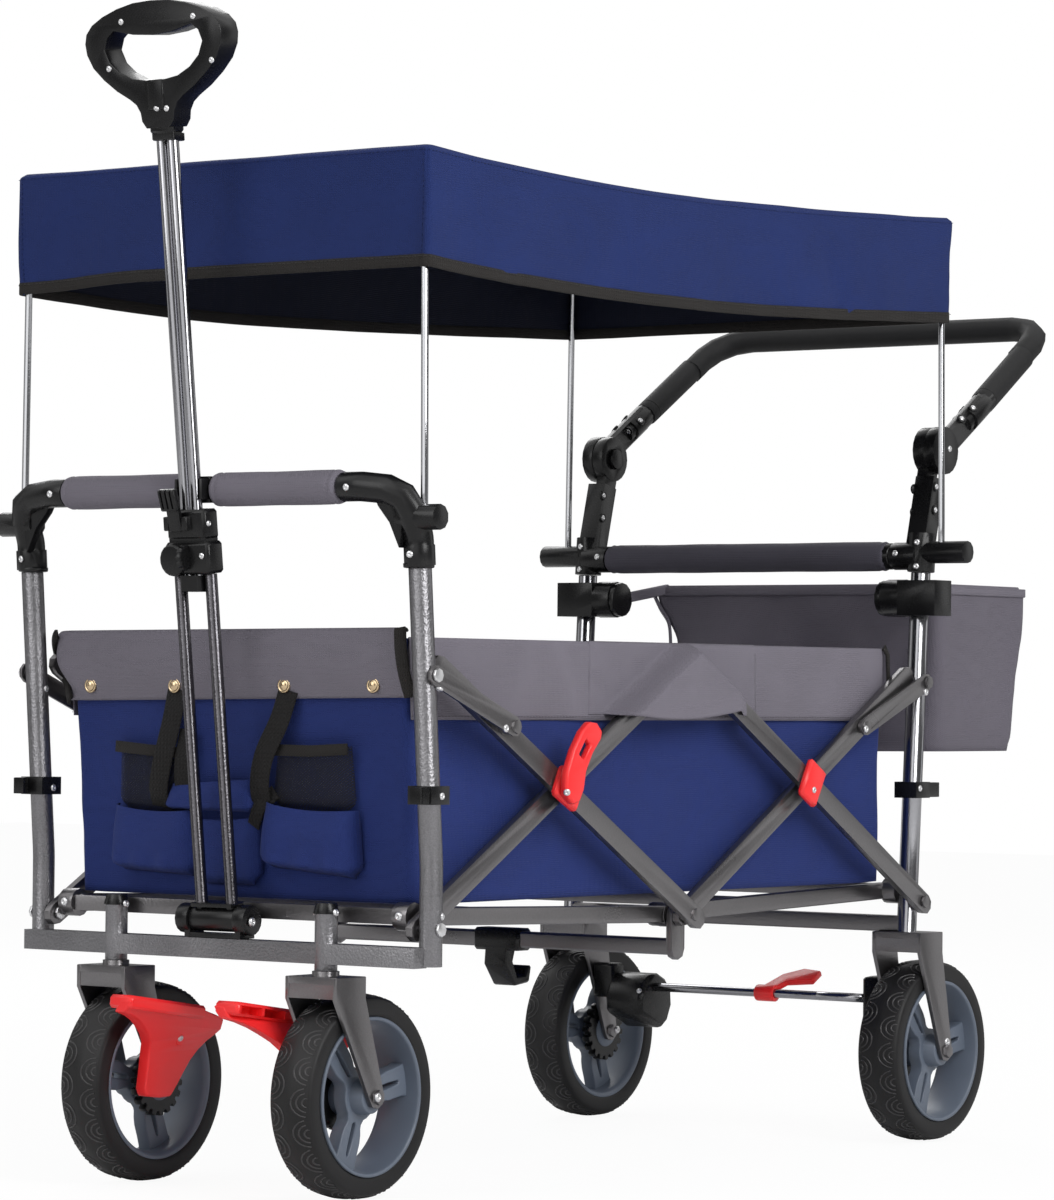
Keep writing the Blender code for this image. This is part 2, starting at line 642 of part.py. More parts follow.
def handlebar_grip():
    """The foam sleeve round the crossbar and its corners."""
    side_x = 0.2305
    line = [handlebar_point(HANDLEBAR_REACH - 0.075, side_x + 0.0008), handlebar_point(HANDLEBAR_REACH, side_x),
            handlebar_point(HANDLEBAR_REACH, -side_x), handlebar_point(HANDLEBAR_REACH - 0.075, -side_x - 0.0008)]
    sleeve = rod(rounded(line, 0.045, 3), 0.0146, 10)
    core_x = 0.2365
    core_line = [handlebar_point(0.060, core_x), handlebar_point(HANDLEBAR_REACH, core_x - 0.006),
                 handlebar_point(HANDLEBAR_REACH, 0.006 - core_x), handlebar_point(0.060, -core_x)]
    core = rod(rounded(core_line, 0.045, 3), 0.0109, 10)
    node("handlebar_grip", cut_from(sleeve, core), FOAM, (0, HUB_Y, HUB_Z))


def bag_clamp(side, name):
    """The clamp on a rear post, with the round housing that an arm of the bag is screwed to."""
    y, z = BAG_BOLT
    base_y = rear_post_y(z)
    body = block((0.050, 0.036, 0.040), (side * 0.2365, base_y, z))
    drum = cylinder((side * 0.1880, y, z), (side * 0.2130, y, z), 0.0212, sides=16)
    low = (side * REAR_POST_X, rear_post_y(z - 0.05), z - 0.05)
    high = (side * REAR_POST_X, rear_post_y(z + 0.05), z + 0.05)
    bore = cylinder(low, high, REAR_POST_RADIUS + 0.0004, sides=14)
    node(name, cut_from(joined(body, drum), bore), BLACK)


BAG_X = 0.2015
BAG_Y = (0.5240, 0.7230)
BAG_Z = (0.4400, 0.6200)


def bag_frame():
    """The wire rim that the bag hangs from, with an arm to each clamp."""
    y, z = BAG_BOLT
    wire_x = BAG_X - 0.005
    rim_z = BAG_Z[1] + 0.0055
    corners = [(wire_x, BAG_Y[0] + 0.005), (wire_x, BAG_Y[1] - 0.005),
               (-wire_x, BAG_Y[1] - 0.005), (-wire_x, BAG_Y[0] + 0.005)]
    loop = []
    for (x, edge_y), start in zip(corners, (-90, 0, 90, 180)):
        centre = (x - 0.02 * (1 if x > 0 else -1), edge_y + 0.02 * (1 if edge_y < 0.6 else -1))
        loop += [(a, b, rim_z) for a, b in arc(centre, 0.02, start, start + 90, 3)]
    wire = rod(loop, 0.005, 6, cyclic=True)
    shapes = []
    for side in (1, -1):
        shapes.append(cylinder((side * 0.1812, y, z), (side * 0.1876, y, z), 0.0200, sides=14))
        shapes.append(block((0.0064, 0.102, 0.012), (side * 0.1844, y + 0.049, z + 0.0075), 0.0015, 8.0))
    node("bag_frame", joined(wire, *shapes), GUNMETAL)


def storage_bag():
    """The plain open bag behind the wagon."""
    low, high = BAG_Z
    centre = (0, sum(BAG_Y) / 2, (low + high) / 2)
    outside = block((2 * BAG_X, BAG_Y[1] - BAG_Y[0], high - low), centre, 0.012)
    inside = block((2 * BAG_X - 0.010, BAG_Y[1] - BAG_Y[0] - 0.010, high - low),
                   (0, centre[1], centre[2] + 0.006), 0.008)
    top = block((0.6, 0.4, 0.04), (0, centre[1], high + 0.0198))
    node("storage_bag", cut_from(outside, inside, top), GREY_CLOTH)


def rear_top_bar():
    """The padded bar between the rear tees."""
    bar = cylinder((-0.1970, 0.432, 0.6585), (0.1970, 0.432, 0.6585), SLEEVE_RADIUS)
    node("rear_top_bar", bevelled(bar, 0.002), GREY_CLOTH)


def brake_housing(side, name):
    """The moulded cover of a rear brake, on the inner side of the fork."""
    y, z = BRAKE_AXIS
    inner_leg = REAR_WHEEL_X - FORK_OUTER - 0.0007
    foot = block((0.030, 0.024, 0.040), (side * (inner_leg - 0.015), y - 0.002, z + 0.006), 0.003)
    outline = arc((y + 0.004, z - 0.018), 0.034, -70, 200, 9)
    shell = plate(outline, 0.052, side * (inner_leg - 0.054), bevel=0.005)
    node(name, joined(shell, foot), BLACK)


def brake_rod():
    """The rod across the rear and the red pedal that turns it."""
    y, z = BRAKE_AXIS
    reach = REAR_WHEEL_X - FORK_OUTER - 0.0007 - 0.080 - GAP
    node("brake_rod", cylinder((-reach, y, z), (reach, y, z), 0.0050, sides=12), CHROME, (0, y, z))
    sleeve = cylinder((0.026, y, z), (0.050, y, z), 0.0095, sides=14)
    wing = plate(
        [(0.030, 0.000), (0.050, 0.000), (0.056, 0.018), (0.088, 0.024), (0.086, 0.046),
         (0.060, 0.050), (0.040, 0.034)],
        0.007, 0, "XY", bevel=0.0015,
    )
    tilt = Matrix.Rotation(math.radians(24), 4, "X")
    wing.data.transform(Matrix.Translation((0, y, z + 0.004)) @ tilt)
    bore = cylinder((0.0, y, z), (0.1, y, z), 0.0053, sides=12)
    node("brake_pedal", cut_from(joined(sleeve, wing), bore), RED, (0, y, z))


# Scissor bars, links and floor
def bar(name, side, layer, start, end, holes, pins, pivot, extra=()):
    """A flat bar with round ends between two points, with holes and rivets."""
    middle = sum(layer) / 2
    flat = plate(stadium(start, end, BAR_HALF_WIDTH), layer[1] - layer[0], side * middle,
                 holes=[circle(hole, HOLE_RADIUS, 8) for hole in holes])
    made = joined(flat, *[rivet(side, *pin) for pin in pins], *extra) if pins or extra else flat
    node(name, made, GUNMETAL, (0, *pivot))


def extended(start, end, past_start, past_end):
    """The two points moved outwards along their own line."""
    first, last = Vector(start), Vector(end)
    along = (last - first).normalized()
    return tuple(first - along * past_start), tuple(last + along * past_end)


def scissor_bars():
    """Four bars a side: two crossing pairs that share their top and bottom middle rivets."""
    pin_inner = INNER_BARS_X[0] + 0.0003
    head = OUTER_BARS_X[1] + 0.0028
    front_foot = (FRONT_PIVOT_Y, PIVOT_Z)
    rear_foot = (REAR_PIVOT_Y, PIVOT_Z)
    top = (MIDDLE_Y, TOP_Z)
    bottom = (MIDDLE_Y, PIVOT_Z)
    cross_front = (CROSS_FRONT_Y, CROSS_Z)
    cross_rear = (CROSS_REAR_Y, CROSS_Z)
    for side, word in ((1, "right"), (-1, "left")):
        start, end = extended(front_foot, top, 0.003, 0.002)
        bar(f"front_riser_bar_{word}", side, INNER_BARS_X, start, end,
            [front_foot, cross_front, top], [], front_foot)
        free_end = along_bar(CROSS_FRONT_Y, -FRONT_BAR_TOP_ARM, -1)
        start, end = extended(free_end, bottom, 0.0, 0.009)
        bar(f"front_lock_bar_{word}", side, OUTER_BARS_X, start, end, [],
            [(pin_inner, head, *cross_front, "outer"), (0.2225, head, *bottom, "outer")],
            cross_front, latch_saddle(side))
        start, end = extended(top, rear_foot, 0.002, 0.006)
        bar(f"rear_riser_bar_{word}", side, OUTER_BARS_X, start, end, [rear_foot],
            [(pin_inner, head, *top, "outer"), (pin_inner, head, *cross_rear, "outer")],
            top, corner_saddle(side))
        free_end = along_bar(CROSS_REAR_Y, REAR_BAR_TOP_ARM, 1)
        start, end = extended(bottom, free_end, 0.003, 0.012)
        bar(f"rear_lock_bar_{word}", side, INNER_BARS_X, start, end,
            [bottom, cross_rear], [], cross_rear)


def latch_saddle(side):
    """The red saddle over the front crossing, as moulded round the outer bar."""
    x = OUTER_BARS_X[1]
    body = block((0.010, 0.042, 0.034),
                 (side * (x + 0.0045), CROSS_FRONT_Y - 0.008, CROSS_Z + 0.003), 0.003, -28)
    return [body]


def corner_saddle(side):
    """The red saddle over the rear crossing."""
    x = OUTER_BARS_X[1]
    body = block((0.009, 0.034, 0.044),
                 (side * (x + 0.004), CROSS_REAR_Y - 0.012, CROSS_Z + 0.004), 0.003, -30)
    return [body]


LATCH_PIVOT = (CROSS_FRONT_Y - 0.010, CROSS_Z + 0.004)


def latch_lever(side, name):
    """The red lever that swings over the crossing and locks the frame open."""
    y, z = LATCH_PIVOT
    x = OUTER_BARS_X[1] + 0.0105 + 0.0050
    outline = [(-0.3000, 0.4000), (-0.2985, 0.4210), (-0.2870, 0.4440), (-0.2730, 0.4620), (-0.2600, 0.4715),
               (-0.2460, 0.4700), (-0.2375, 0.4620), (-0.2400, 0.4535), (-0.2540, 0.4390), (-0.2650, 0.4215),
               (-0.2690, 0.4020), (-0.2750, 0.3915), (-0.2880, 0.3885)]
    hole = [(-0.2775, 0.4390), (-0.2655, 0.4545), (-0.2570, 0.4480), (-0.2690, 0.4325)]
    lever = plate(outline, 0.0100, side * x, holes=[hole], bevel=0.0022)
    node(name, lever, RED, (side * x, y, z))


def middle_tube():
    """The tube between the lower middle rivets, with its drop plates and the moulded hook."""
    tube_z = 0.2355
    tube = block((2 * 0.2290, 0.017, 0.017), (0, MIDDLE_Y, tube_z), 0.002)
    shapes = []
    for side in (1, -1):
        shapes.append(plate(stadium((MIDDLE_Y, PIVOT_Z), (MIDDLE_Y, tube_z - 0.002), 0.0115),
                            0.0075, side * 0.2256,
                            holes=[circle((MIDDLE_Y, PIVOT_Z), HOLE_RADIUS)]))
    shapes.append(block((0.060, 0.026, 0.024), (0, MIDDLE_Y, tube_z), 0.003))
    hook = [(MIDDLE_Y - 0.012, 0.2300), (MIDDLE_Y - 0.014, 0.2080), (MIDDLE_Y + 0.004, 0.1850),
            (MIDDLE_Y + 0.030, 0.1880), (MIDDLE_Y + 0.034, 0.2060), (MIDDLE_Y + 0.026, 0.2060),
            (MIDDLE_Y + 0.022, 0.1960), (MIDDLE_Y + 0.008, 0.1950), (MIDDLE_Y + 0.000, 0.2120),
            (MIDDLE_Y + 0.006, 0.2300)]
    shapes.append(plate(hook, 0.030, 0, bevel=0.002))
    node("middle_tube", joined(tube, *shapes), GUNMETAL, (0, MIDDLE_Y, PIVOT_Z))


def link_geometry(front):
    """The link's upper and lower rivets, as (y, z) pairs."""
    if front:
        return (post_y(LINK_TOP_Z), LINK_TOP_Z), along_bar(CROSS_FRONT_Y, -LINK_ARM, -1)
    return (rear_post_y(LINK_TOP_Z), LINK_TOP_Z), along_bar(CROSS_REAR_Y, LINK_ARM, 1)


def link(name, side, front):
    """A short flat link from a post to the free arm of a bar."""
    upper, lower = link_geometry(front)
    near, far = (0.2636, 0.2666) if front else (0.2425, 0.2455)
    under = (OUTER_BARS_X if front else INNER_BARS_X)[1] + GAP
    flat = plate(stadium(upper, lower, 0.0100), far - near, side * (near + far) / 2,
                 holes=[circle(upper, HOLE_RADIUS, 8)])
    boss = cylinder((side * under, *lower), (side * (far - 0.001), *lower), 0.0080, sides=10)
    head = rivet(side, far - 0.002, far + 0.0026, *lower, "outer")
    node(name, joined(flat, boss, head), GUNMETAL, (0, *upper))


def floor_frame(name, hinge_y, towards, rail_x, bar_x):
    """Half of the folding floor: a crossbar on the hinge line, two rails and a brace."""
    droop = math.radians(FLOOR_DROOP)
    shapes = []
    middle_y = hinge_y + towards * FLOOR_LENGTH / 2 * math.cos(droop)
    middle_z = FLOOR_Z - FLOOR_LENGTH / 2 * math.sin(droop)
    for side in (1, -1):
        shapes.append(block((0.012, FLOOR_LENGTH, 0.018), (side * rail_x, middle_y, middle_z), 0.001,
                            -towards * FLOOR_DROOP))
        end_y = hinge_y + towards * (FLOOR_LENGTH - 0.004)
        shapes.append(cylinder((side * (rail_x - 0.0065), end_y, FLOOR_Z - 0.0125),
                               (side * (rail_x + 0.0065), end_y, FLOOR_Z - 0.0125), 0.0125, sides=14))
        shapes.append(cylinder((side * (bar_x - 0.018), hinge_y, FLOOR_Z),
                               (side * bar_x, hinge_y, FLOOR_Z), 0.0142, sides=14))
    brace_y = hinge_y + towards * 0.24
    shapes.append(block((2 * rail_x, 0.016, 0.012), (0, brace_y, FLOOR_Z - 0.0075)))
    cross = block((2 * (bar_x - 0.002), 0.0155, 0.0155), (0, hinge_y, FLOOR_Z))
    node(name, joined(cross, *shapes), GUNMETAL, (0, hinge_y, FLOOR_Z))


# Pull handle, built upright over its pivot and then leaned forwards
def leaned(obj):
    """The shape leaned forwards about the pull handle's pivot."""
    turn = Matrix.Rotation(math.radians(PULL_LEAN), 4, "X")
    obj.data.transform(Matrix.Translation((0, *PULL_PIVOT)) @ turn)
    return obj


def pull_pivot_bracket():
    """The moulded block on the crossbar that the pull handle turns in."""
    y, z = PULL_PIVOT
    base = block((0.072, 0.022, 0.0046), (0, y + 0.0025, 0.2558))
    shapes = [
        cylinder((side * 0.0295, y, z), (side * 0.0440, y, z), 0.0150, sides=16)
        for side in (1, -1)
    ]
    shapes.append(cylinder((-0.0300, y, z), (0.0300, y, z), 0.0050, sides=10))
    for side in (1, -1):
        shapes.append(block((0.0070, 0.022, 0.018), (side * 0.0325, y + 0.002, 0.2627)))
        shapes.append(cylinder((side * 0.0430, y, z), (side * 0.0465, y, z), 0.0060, sides=6))
    node("pull_pivot_bracket", joined(base, *shapes), BLACK)


def pull_lower_tubes():
    """The two lower tubes, their roller on the pivot and the plate that joins them."""
    roller = cylinder((-0.0285, 0, 0), (0.0285, 0, 0), 0.0125, sides=16)
    bore = cylinder((-0.05, 0, 0), (0.05, 0, 0), 0.0054, sides=12)
    cap = block((0.052, 0.020, 0.004), (0, 0, 0.0150))
    shapes = [cap] + [cylinder((side * 0.0196, 0, 0.010), (side * 0.0196, 0, 0.3446), 0.0063, sides=12)
                      for side in (1, -1)]
    node("pull_lower_tubes", leaned(cut_from(joined(roller, *shapes), bore)), HAMMERED, (0, *PULL_PIVOT))


def pull_clamp():
    """The two-storey clamp that the upper tubes slide through, with its round dial."""
    lower = block((0.056, 0.025, 0.032), (0, 0, 0.3612), 0.003)
    upper = block((0.050, 0.023, 0.030), (0, 0, 0.3942), 0.003)
    neck = block((0.046, 0.020, 0.010), (0, 0, 0.3780))
    dial = bevelled(cylinder((-0.015, -0.008, 0.3600), (-0.015, -0.0185, 0.3600), 0.0160, sides=18), 0.002)
    lugs = block((0.030, 0.008, 0.014), (-0.008, -0.0140, 0.3960), 0.001)
    slot = block((0.0268, 0.0136, 0.2), (0, 0, 0.38))
    notch = block((0.0165, 0.012, 0.030), (-0.008, -0.0175, 0.3960))
    made = cut_from(joined(lower, upper, neck, dial, lugs), slot, notch)
    node("pull_clamp", leaned(made), BLACK, (0, *PULL_PIVOT))


CLAMP_LEVER_PIVOT = (-0.0165, 0.3900)


def lean_point(x, y, z):
    """A point of the upright pull handle, where it stands once leaned."""
    turn = math.radians(PULL_LEAN)
    return (x, PULL_PIVOT[0] + y * math.cos(turn) - z * math.sin(turn),
            PULL_PIVOT[1] + y * math.sin(turn) + z * math.cos(turn))


def clamp_lever():
    """The ribbed lever that tightens the clamp."""
    y, z = CLAMP_LEVER_PIVOT
    body = block((0.0155, 0.007, 0.036), (-0.008, y - 0.0010, z + 0.016), 0.0015, 8)
    pad = block((0.0215, 0.008, 0.022), (-0.008, y - 0.0075, z + 0.030), 0.0015, 12)
    grooves = [block((0.0022, 0.004, 0.020), (-0.008 + across, y - 0.0118, z + 0.031), 0, 12)
               for across in (-0.006, 0.0, 0.006)]
    made = cut_from(joined(body, pad), *grooves)
    node("clamp_lever", leaned(made), BLACK, lean_point(-0.008, y, z))


def pull_upper_tubes():
    """The two chrome tubes that slide, joined by a plug below and by the grip's collar above."""
    shapes = [cylinder((side * 0.0065, 0, 0.336), (side * 0.0065, 0, 0.776), 0.0062, sides=12)
              for side in (1, -1)]
    plug = block((0.0240, 0.0110, 0.012), (0, 0, 0.3360), 0.001)
    node("pull_upper_tubes", leaned(joined(plug, *shapes)), CHROME, (0, *PULL_PIVOT))


def pull_grip():
    """The D-shaped grip with its neck and collar, in one moulding."""
    right = [(0.0230, 0.9090), (0.0440, 0.9048), (0.0630, 0.8985), (0.0775, 0.8910), (0.0855, 0.8825),
             (0.0878, 0.8730), (0.0862, 0.8620), (0.0790, 0.8485), (0.0660, 0.8358), (0.0500, 0.8238),
             (0.0345, 0.8150), (0.0262, 0.8090), (0.0215, 0.8010), (0.0202, 0.7925), (0.0150, 0.7855)]
    outline = [(0, 0.9100)] + right + [(-x, z) for x, z in reversed(right)]
    hole_right = [(0.0250, 0.8780), (0.0500, 0.8835), (0.0585, 0.8770), (0.0628, 0.8660), (0.0570, 0.8530),
                  (0.0450, 0.8425), (0.0290, 0.8350), (0.0120, 0.8325)]
    hole = [(0, 0.8760)] + hole_right + [(-x, z) for x, z in reversed(hole_right)]
    loop = bevelled(plate(outline, 0.0270, 0, "XZ", [hole]), 0.0075, 2)
    collar = block((0.0300, 0.0230, 0.0210), (0, 0, 0.7888), 0.004)
    cap = block((0.0200, 0.0060, 0.0300), (0, -0.0125, 0.8175), 0.0015)
    node("pull_grip", leaned(joined(loop, collar, cap)), BLACK, (0, *PULL_PIVOT))


# Soft parts
def canopy():
    """The box canopy: a top that sags between the hoops and a valance all round."""
    across, along = 8, 14
    mesh = bpy.data.meshes.new("canopy")
    work = bmesh.new()
    rows = []
    for j in range(along + 1):
        share = j / along
        y = CANOPY_Y[0] + (CANOPY_Y[1] - CANOPY_Y[0]) * share
        top = CANOPY_TOP_Z[0] + (CANOPY_TOP_Z[1] - CANOPY_TOP_Z[0]) * share
        row = []
        for i in range(across + 1):
            middle = 2 * i / across - 1
            x = CANOPY_HALF_WIDTH * middle
            sag = 0.010 * math.sin(math.pi * share) * (1 - 0.35 * middle * middle)
            ripple = 0.0022 * math.sin(5 * math.pi * share + 2.1 * middle) * math.sin(math.pi * share)
            row.append(work.verts.new((x, y, top - sag + ripple)))
        rows.append(row)
    for first, second in zip(rows, rows[1:]):
        for i in range(across):
            work.faces.new((first[i], first[i + 1], second[i + 1], second[i]))
    rim = rows[0] + [row[-1] for row in rows[1:-1]] + rows[-1][::-1] + [row[0] for row in rows[-2:0:-1]]
    levels = [rim]
    for level in range(1, 4):
        drop = CANOPY_DROP * level / 3
        lower = []
        for index, vert in enumerate(rim):
            wave = 0.0018 * math.sin(index * 0.9) * (level / 3)
            inward = Vector((-vert.co.x, -(vert.co.y - sum(CANOPY_Y) / 2), 0)).normalized() * (abs(wave))
            lower.append(work.verts.new((vert.co.x + inward.x, vert.co.y + inward.y, vert.co.z - drop)))
        levels.append(lower)
    for upper, lower in zip(levels, levels[1:]):
        for index in range(len(upper)):
            after = (index + 1) % len(upper)
            work.faces.new((upper[index], lower[index], lower[after], upper[after]))
    work.to_mesh(mesh)
    work.free()
    obj = bpy.data.objects.new("canopy", mesh)
    skin = obj.modifiers.new("skin", "SOLIDIFY")
    skin.thickness = CLOTH
    skin.offset = -1
    skin.use_even_offset = True
    node("canopy", meshed(obj), NAVY)


BASKET_HALF_WIDTH = 0.2185
BASKET_FLOOR_Z = 0.2925
BASKET_TOP_Z = 0.556


def basket():
    """The open basket with a padded floor: its front leans with the posts."""
    outer = [(-0.480, BASKET_FLOOR_Z), (0.370, BASKET_FLOOR_Z), (0.373, BASKET_TOP_Z), (-0.500, BASKET_TOP_Z)]
    inner = [(-0.474, BASKET_FLOOR_Z + 0.012), (0.364, BASKET_FLOOR_Z + 0.012), (0.367, 0.60), (-0.4975, 0.60)]
    body = plate(outer, 2 * BASKET_HALF_WIDTH, 0, bevel=0.006)
    hollow = plate(inner, 2 * (BASKET_HALF_WIDTH - 0.006), 0)
    node("basket", cut_from(body, hollow), NAVY)


def build():
    """Makes every piece of the wagon."""
    front_frame()
    top_bar()
    rear_frame()
    rear_top_bar()
    canopy_hoop("canopy_hoop_front", HOOP_Y[0], 0.6704, 1.0090)
    canopy_hoop("canopy_hoop_rear", HOOP_Y[1], 0.6654, 1.0200)
    tyre, rim = tyre_mesh(), rim_mesh()
    for side, word in ((1, "right"), (-1, "left")):
        elbow(side, f"top_elbow_{word}")
        front_fork(side, f"caster_fork_{word}")
        wheel(f"front_{word}", side, side * CASTER_X, FRONT_WHEEL_Y, tyre, rim)
        wheel(f"rear_{word}", side, side * REAR_WHEEL_X, REAR_WHEEL_Y, tyre, rim)
        front_brake(side, f"front_brake_pedal_{word}")
        handle_column(side, f"handle_column_{word}")
        hub_button(side, f"hub_button_{word}")
        bag_clamp(side, f"bag_clamp_{word}")
        brake_housing(side, f"brake_housing_{word}")
        latch_lever(side, f"latch_lever_{word}")
        link(f"front_link_{word}", side, True)
        link(f"rear_link_{word}", side, False)
    scissor_bars()
    middle_tube()
    floor_frame("floor_frame_front", FLOOR_FRONT_Y, 1, 0.2120, 0.2255)
    floor_frame("floor_frame_rear", FLOOR_REAR_Y, -1, 0.1965, 0.2185)
    handlebar()
    handlebar_grip()
    bag_frame()
    storage_bag()
    brake_rod()
    pull_pivot_bracket()
    pull_lower_tubes()
    pull_clamp()
    clamp_lever()
    pull_upper_tubes()
    pull_grip()
    canopy()
    basket()


build()
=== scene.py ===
# %% [markdown]
# # A folding wagon, dressed for its picture
# The wagon is a steel scissor frame on four wide wheels, with a cloth basket, a cloth canopy, a pull
# handle in front and a push handlebar behind. The metal and the plastic come from the CAD model, where
# every part already has its size and its joint. This file gives them their finishes, and makes what CAD
# does badly: cloth, padding, tyres, and the small screws. Everything is in metres, with the front of the
# wagon towards -Y.

# %% Load the frame
import json
import math

import bpy
import numpy as np
from mathutils import Matrix, Vector, noise
from mathutils.bvhtree import BVHTree

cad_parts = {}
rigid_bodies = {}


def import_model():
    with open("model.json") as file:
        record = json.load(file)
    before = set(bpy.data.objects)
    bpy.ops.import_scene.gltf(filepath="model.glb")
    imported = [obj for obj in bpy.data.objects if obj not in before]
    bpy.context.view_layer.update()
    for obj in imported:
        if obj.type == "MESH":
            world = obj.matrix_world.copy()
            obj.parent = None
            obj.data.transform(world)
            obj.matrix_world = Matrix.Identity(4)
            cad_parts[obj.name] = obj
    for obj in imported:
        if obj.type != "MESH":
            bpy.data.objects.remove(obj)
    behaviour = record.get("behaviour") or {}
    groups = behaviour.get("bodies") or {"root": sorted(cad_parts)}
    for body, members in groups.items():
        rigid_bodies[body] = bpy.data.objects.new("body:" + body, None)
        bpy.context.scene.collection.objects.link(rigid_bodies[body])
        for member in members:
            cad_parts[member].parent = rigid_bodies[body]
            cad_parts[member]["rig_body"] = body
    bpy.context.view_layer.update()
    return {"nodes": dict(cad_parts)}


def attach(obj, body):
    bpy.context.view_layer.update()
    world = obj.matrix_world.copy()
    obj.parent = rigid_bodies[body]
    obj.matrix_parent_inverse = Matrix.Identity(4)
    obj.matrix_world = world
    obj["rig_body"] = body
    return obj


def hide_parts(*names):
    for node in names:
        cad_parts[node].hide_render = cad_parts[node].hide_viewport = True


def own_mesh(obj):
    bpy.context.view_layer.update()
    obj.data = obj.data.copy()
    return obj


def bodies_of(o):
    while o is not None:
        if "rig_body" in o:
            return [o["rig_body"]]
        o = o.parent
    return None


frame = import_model()
NODES = frame["nodes"]

# %% [markdown]
# ## The camera
# The wagon was photographed with a long lens from a few metres away and a little below the middle, so
# that the sides hardly converge and the underside of the canopy shows. The direction is written as turn,
# height and roll, and three axes at right angles are built from it. That is safer than typing a rotation,
# because each axis can be checked on its own: one points right in the picture, one up, and one back at
# the viewer.

# %% Place the camera
SHIFT = -0.04625  # the model is centred on its box, and places below count from the wagon's own middle
TURN, HEIGHT, ROLL = (math.radians(angle) for angle in (36.3425, -1.1264, 0.5393))
LENS, SENSOR = 142.44, 36.0
CAMERA_PLACE = (3.0489, -4.1463 + SHIFT, 0.4994)
FAR_ENOUGH = 60

back = Vector(
    (math.sin(TURN) * math.cos(HEIGHT), -math.cos(TURN) * math.cos(HEIGHT), math.sin(HEIGHT))
)
level = (-back).cross(Vector((0, 0, 1))).normalized()
above = level.cross(-back)
right = math.cos(ROLL) * level + math.sin(ROLL) * above
upward = -math.sin(ROLL) * level + math.cos(ROLL) * above

camera_data = bpy.data.cameras.new("camera")
camera_data.lens = LENS
camera_data.sensor_fit = "VERTICAL"
camera_data.sensor_width = SENSOR
camera_data.sensor_height = SENSOR
camera_data.clip_end = FAR_ENOUGH
camera = bpy.data.objects.new("camera", camera_data)
camera.matrix_world = Matrix((right, upward, back)).transposed().to_4x4()
camera.location = CAMERA_PLACE
bpy.context.scene.collection.objects.link(camera)
bpy.context.scene.camera = camera
bpy.context.scene.view_settings.view_transform = "Standard"
print(f"camera {camera.location.length:.2f} m away, lens {LENS} mm")

# %% [markdown]
# ## Arithmetic for shaders
# A finish is a small recipe: a grain, a weave, a few speckles. In the shader editor each plus or times is
# a node of its own, which makes long recipes hard to read. Here a small class wraps a socket, and
# Python's own signs add the nodes: `1 - mask` or `grain * 0.2 + base`. Colours don't go through those
# signs, because a Math node would turn them grey. They are mixed in a node made for colours.


# %% A wire that does sums, and a finish that collects nodes
class Wire:
    """A socket in a finish. Arithmetic signs add Math nodes."""

    def __init__(self, finish, socket):
        self.finish = finish
        self.socket = socket

    def math(self, operation, *others):
        return self.finish.node(
            "ShaderNodeMath",
            {"operation": operation},
            dict(enumerate((self, *others))),
        )

    def __add__(self, other):
        return self.math("ADD", other)

    def __sub__(self, other):
        return self.math("SUBTRACT", other)

    def __rsub__(self, other):
        return (self * -1.0).math("ADD", other)

    def __mul__(self, other):
        return self.math("MULTIPLY", other)

    __radd__ = __add__
    __rmul__ = __mul__

    def __gt__(self, other):
        return self.math("GREATER_THAN", other)

    def __lt__(self, other):
        return self.math("LESS_THAN", other)


class Finish:
    """A material with one Principled shader, and one method that adds any other node."""

    def __init__(self, name, **constants):
        self.material = bpy.data.materials.new(name)
        self.material.use_nodes = True
        self.tree = self.material.node_tree
        self.shader = next(
            n for n in self.tree.nodes if n.type == "BSDF_PRINCIPLED"
        )
        for socket, value in constants.items():
            self.set(socket.replace("_", " "), value)

    def node(self, kind, settings=None, values=None, output=0):
        made = self.tree.nodes.new(kind)
        for key, value in (settings or {}).items():
            setattr(made, key, value)
        for key, value in (values or {}).items():
            self.join(value, made.inputs[key])
        return Wire(self, made.outputs[output])

    def join(self, value, socket):
        if isinstance(value, Wire):
            self.tree.links.new(value.socket, socket)
        else:
            socket.default_value = value

    def set(self, name, value):
        self.join(value, self.shader.inputs[name])

    def place(self):
        return self.node("ShaderNodeTexCoord", output="Object")

    def axes(self, vector):
        """The three numbers of a vector, each on its own wire."""
        return [
            self.node("ShaderNodeSeparateXYZ", None, {"Vector": vector}, output=axis)
            for axis in "XYZ"
        ]

    def noise(self, scale, detail=3.0):
        values = {"Vector": self.place(), "Scale": scale, "Detail": detail}
        return self.node("ShaderNodeTexNoise", None, values)

    def blend(self, mask, first, second):
        return self.node(
            "ShaderNodeMix",
            {"data_type": "RGBA"},
            {"Factor": mask, "A": (*first, 1), "B": (*second, 1)},
            output="Result",
        )

    def step(self, value, low, high):
        """0 below low, 1 above high, with a smooth way between."""
        return self.node(
            "ShaderNodeMapRange",
            {"interpolation_type": "SMOOTHSTEP"},
            {"Value": value, "From Min": low, "From Max": high},
        )

    def bump(self, height, distance):
        values = {"Height": height, "Distance": distance}
        self.set("Normal", self.node("ShaderNodeBump", None, values))


def linear(*rgb):
    """A colour read off a screen, 0 to 255, as the light it stands for."""
    return tuple(
        c / 255 / 12.92 if c < 10.3 else ((c / 255 + 0.055) / 1.055) ** 2.4
        for c in rgb
    )


print("a screen grey of 128 is", round(linear(128)[0], 3))

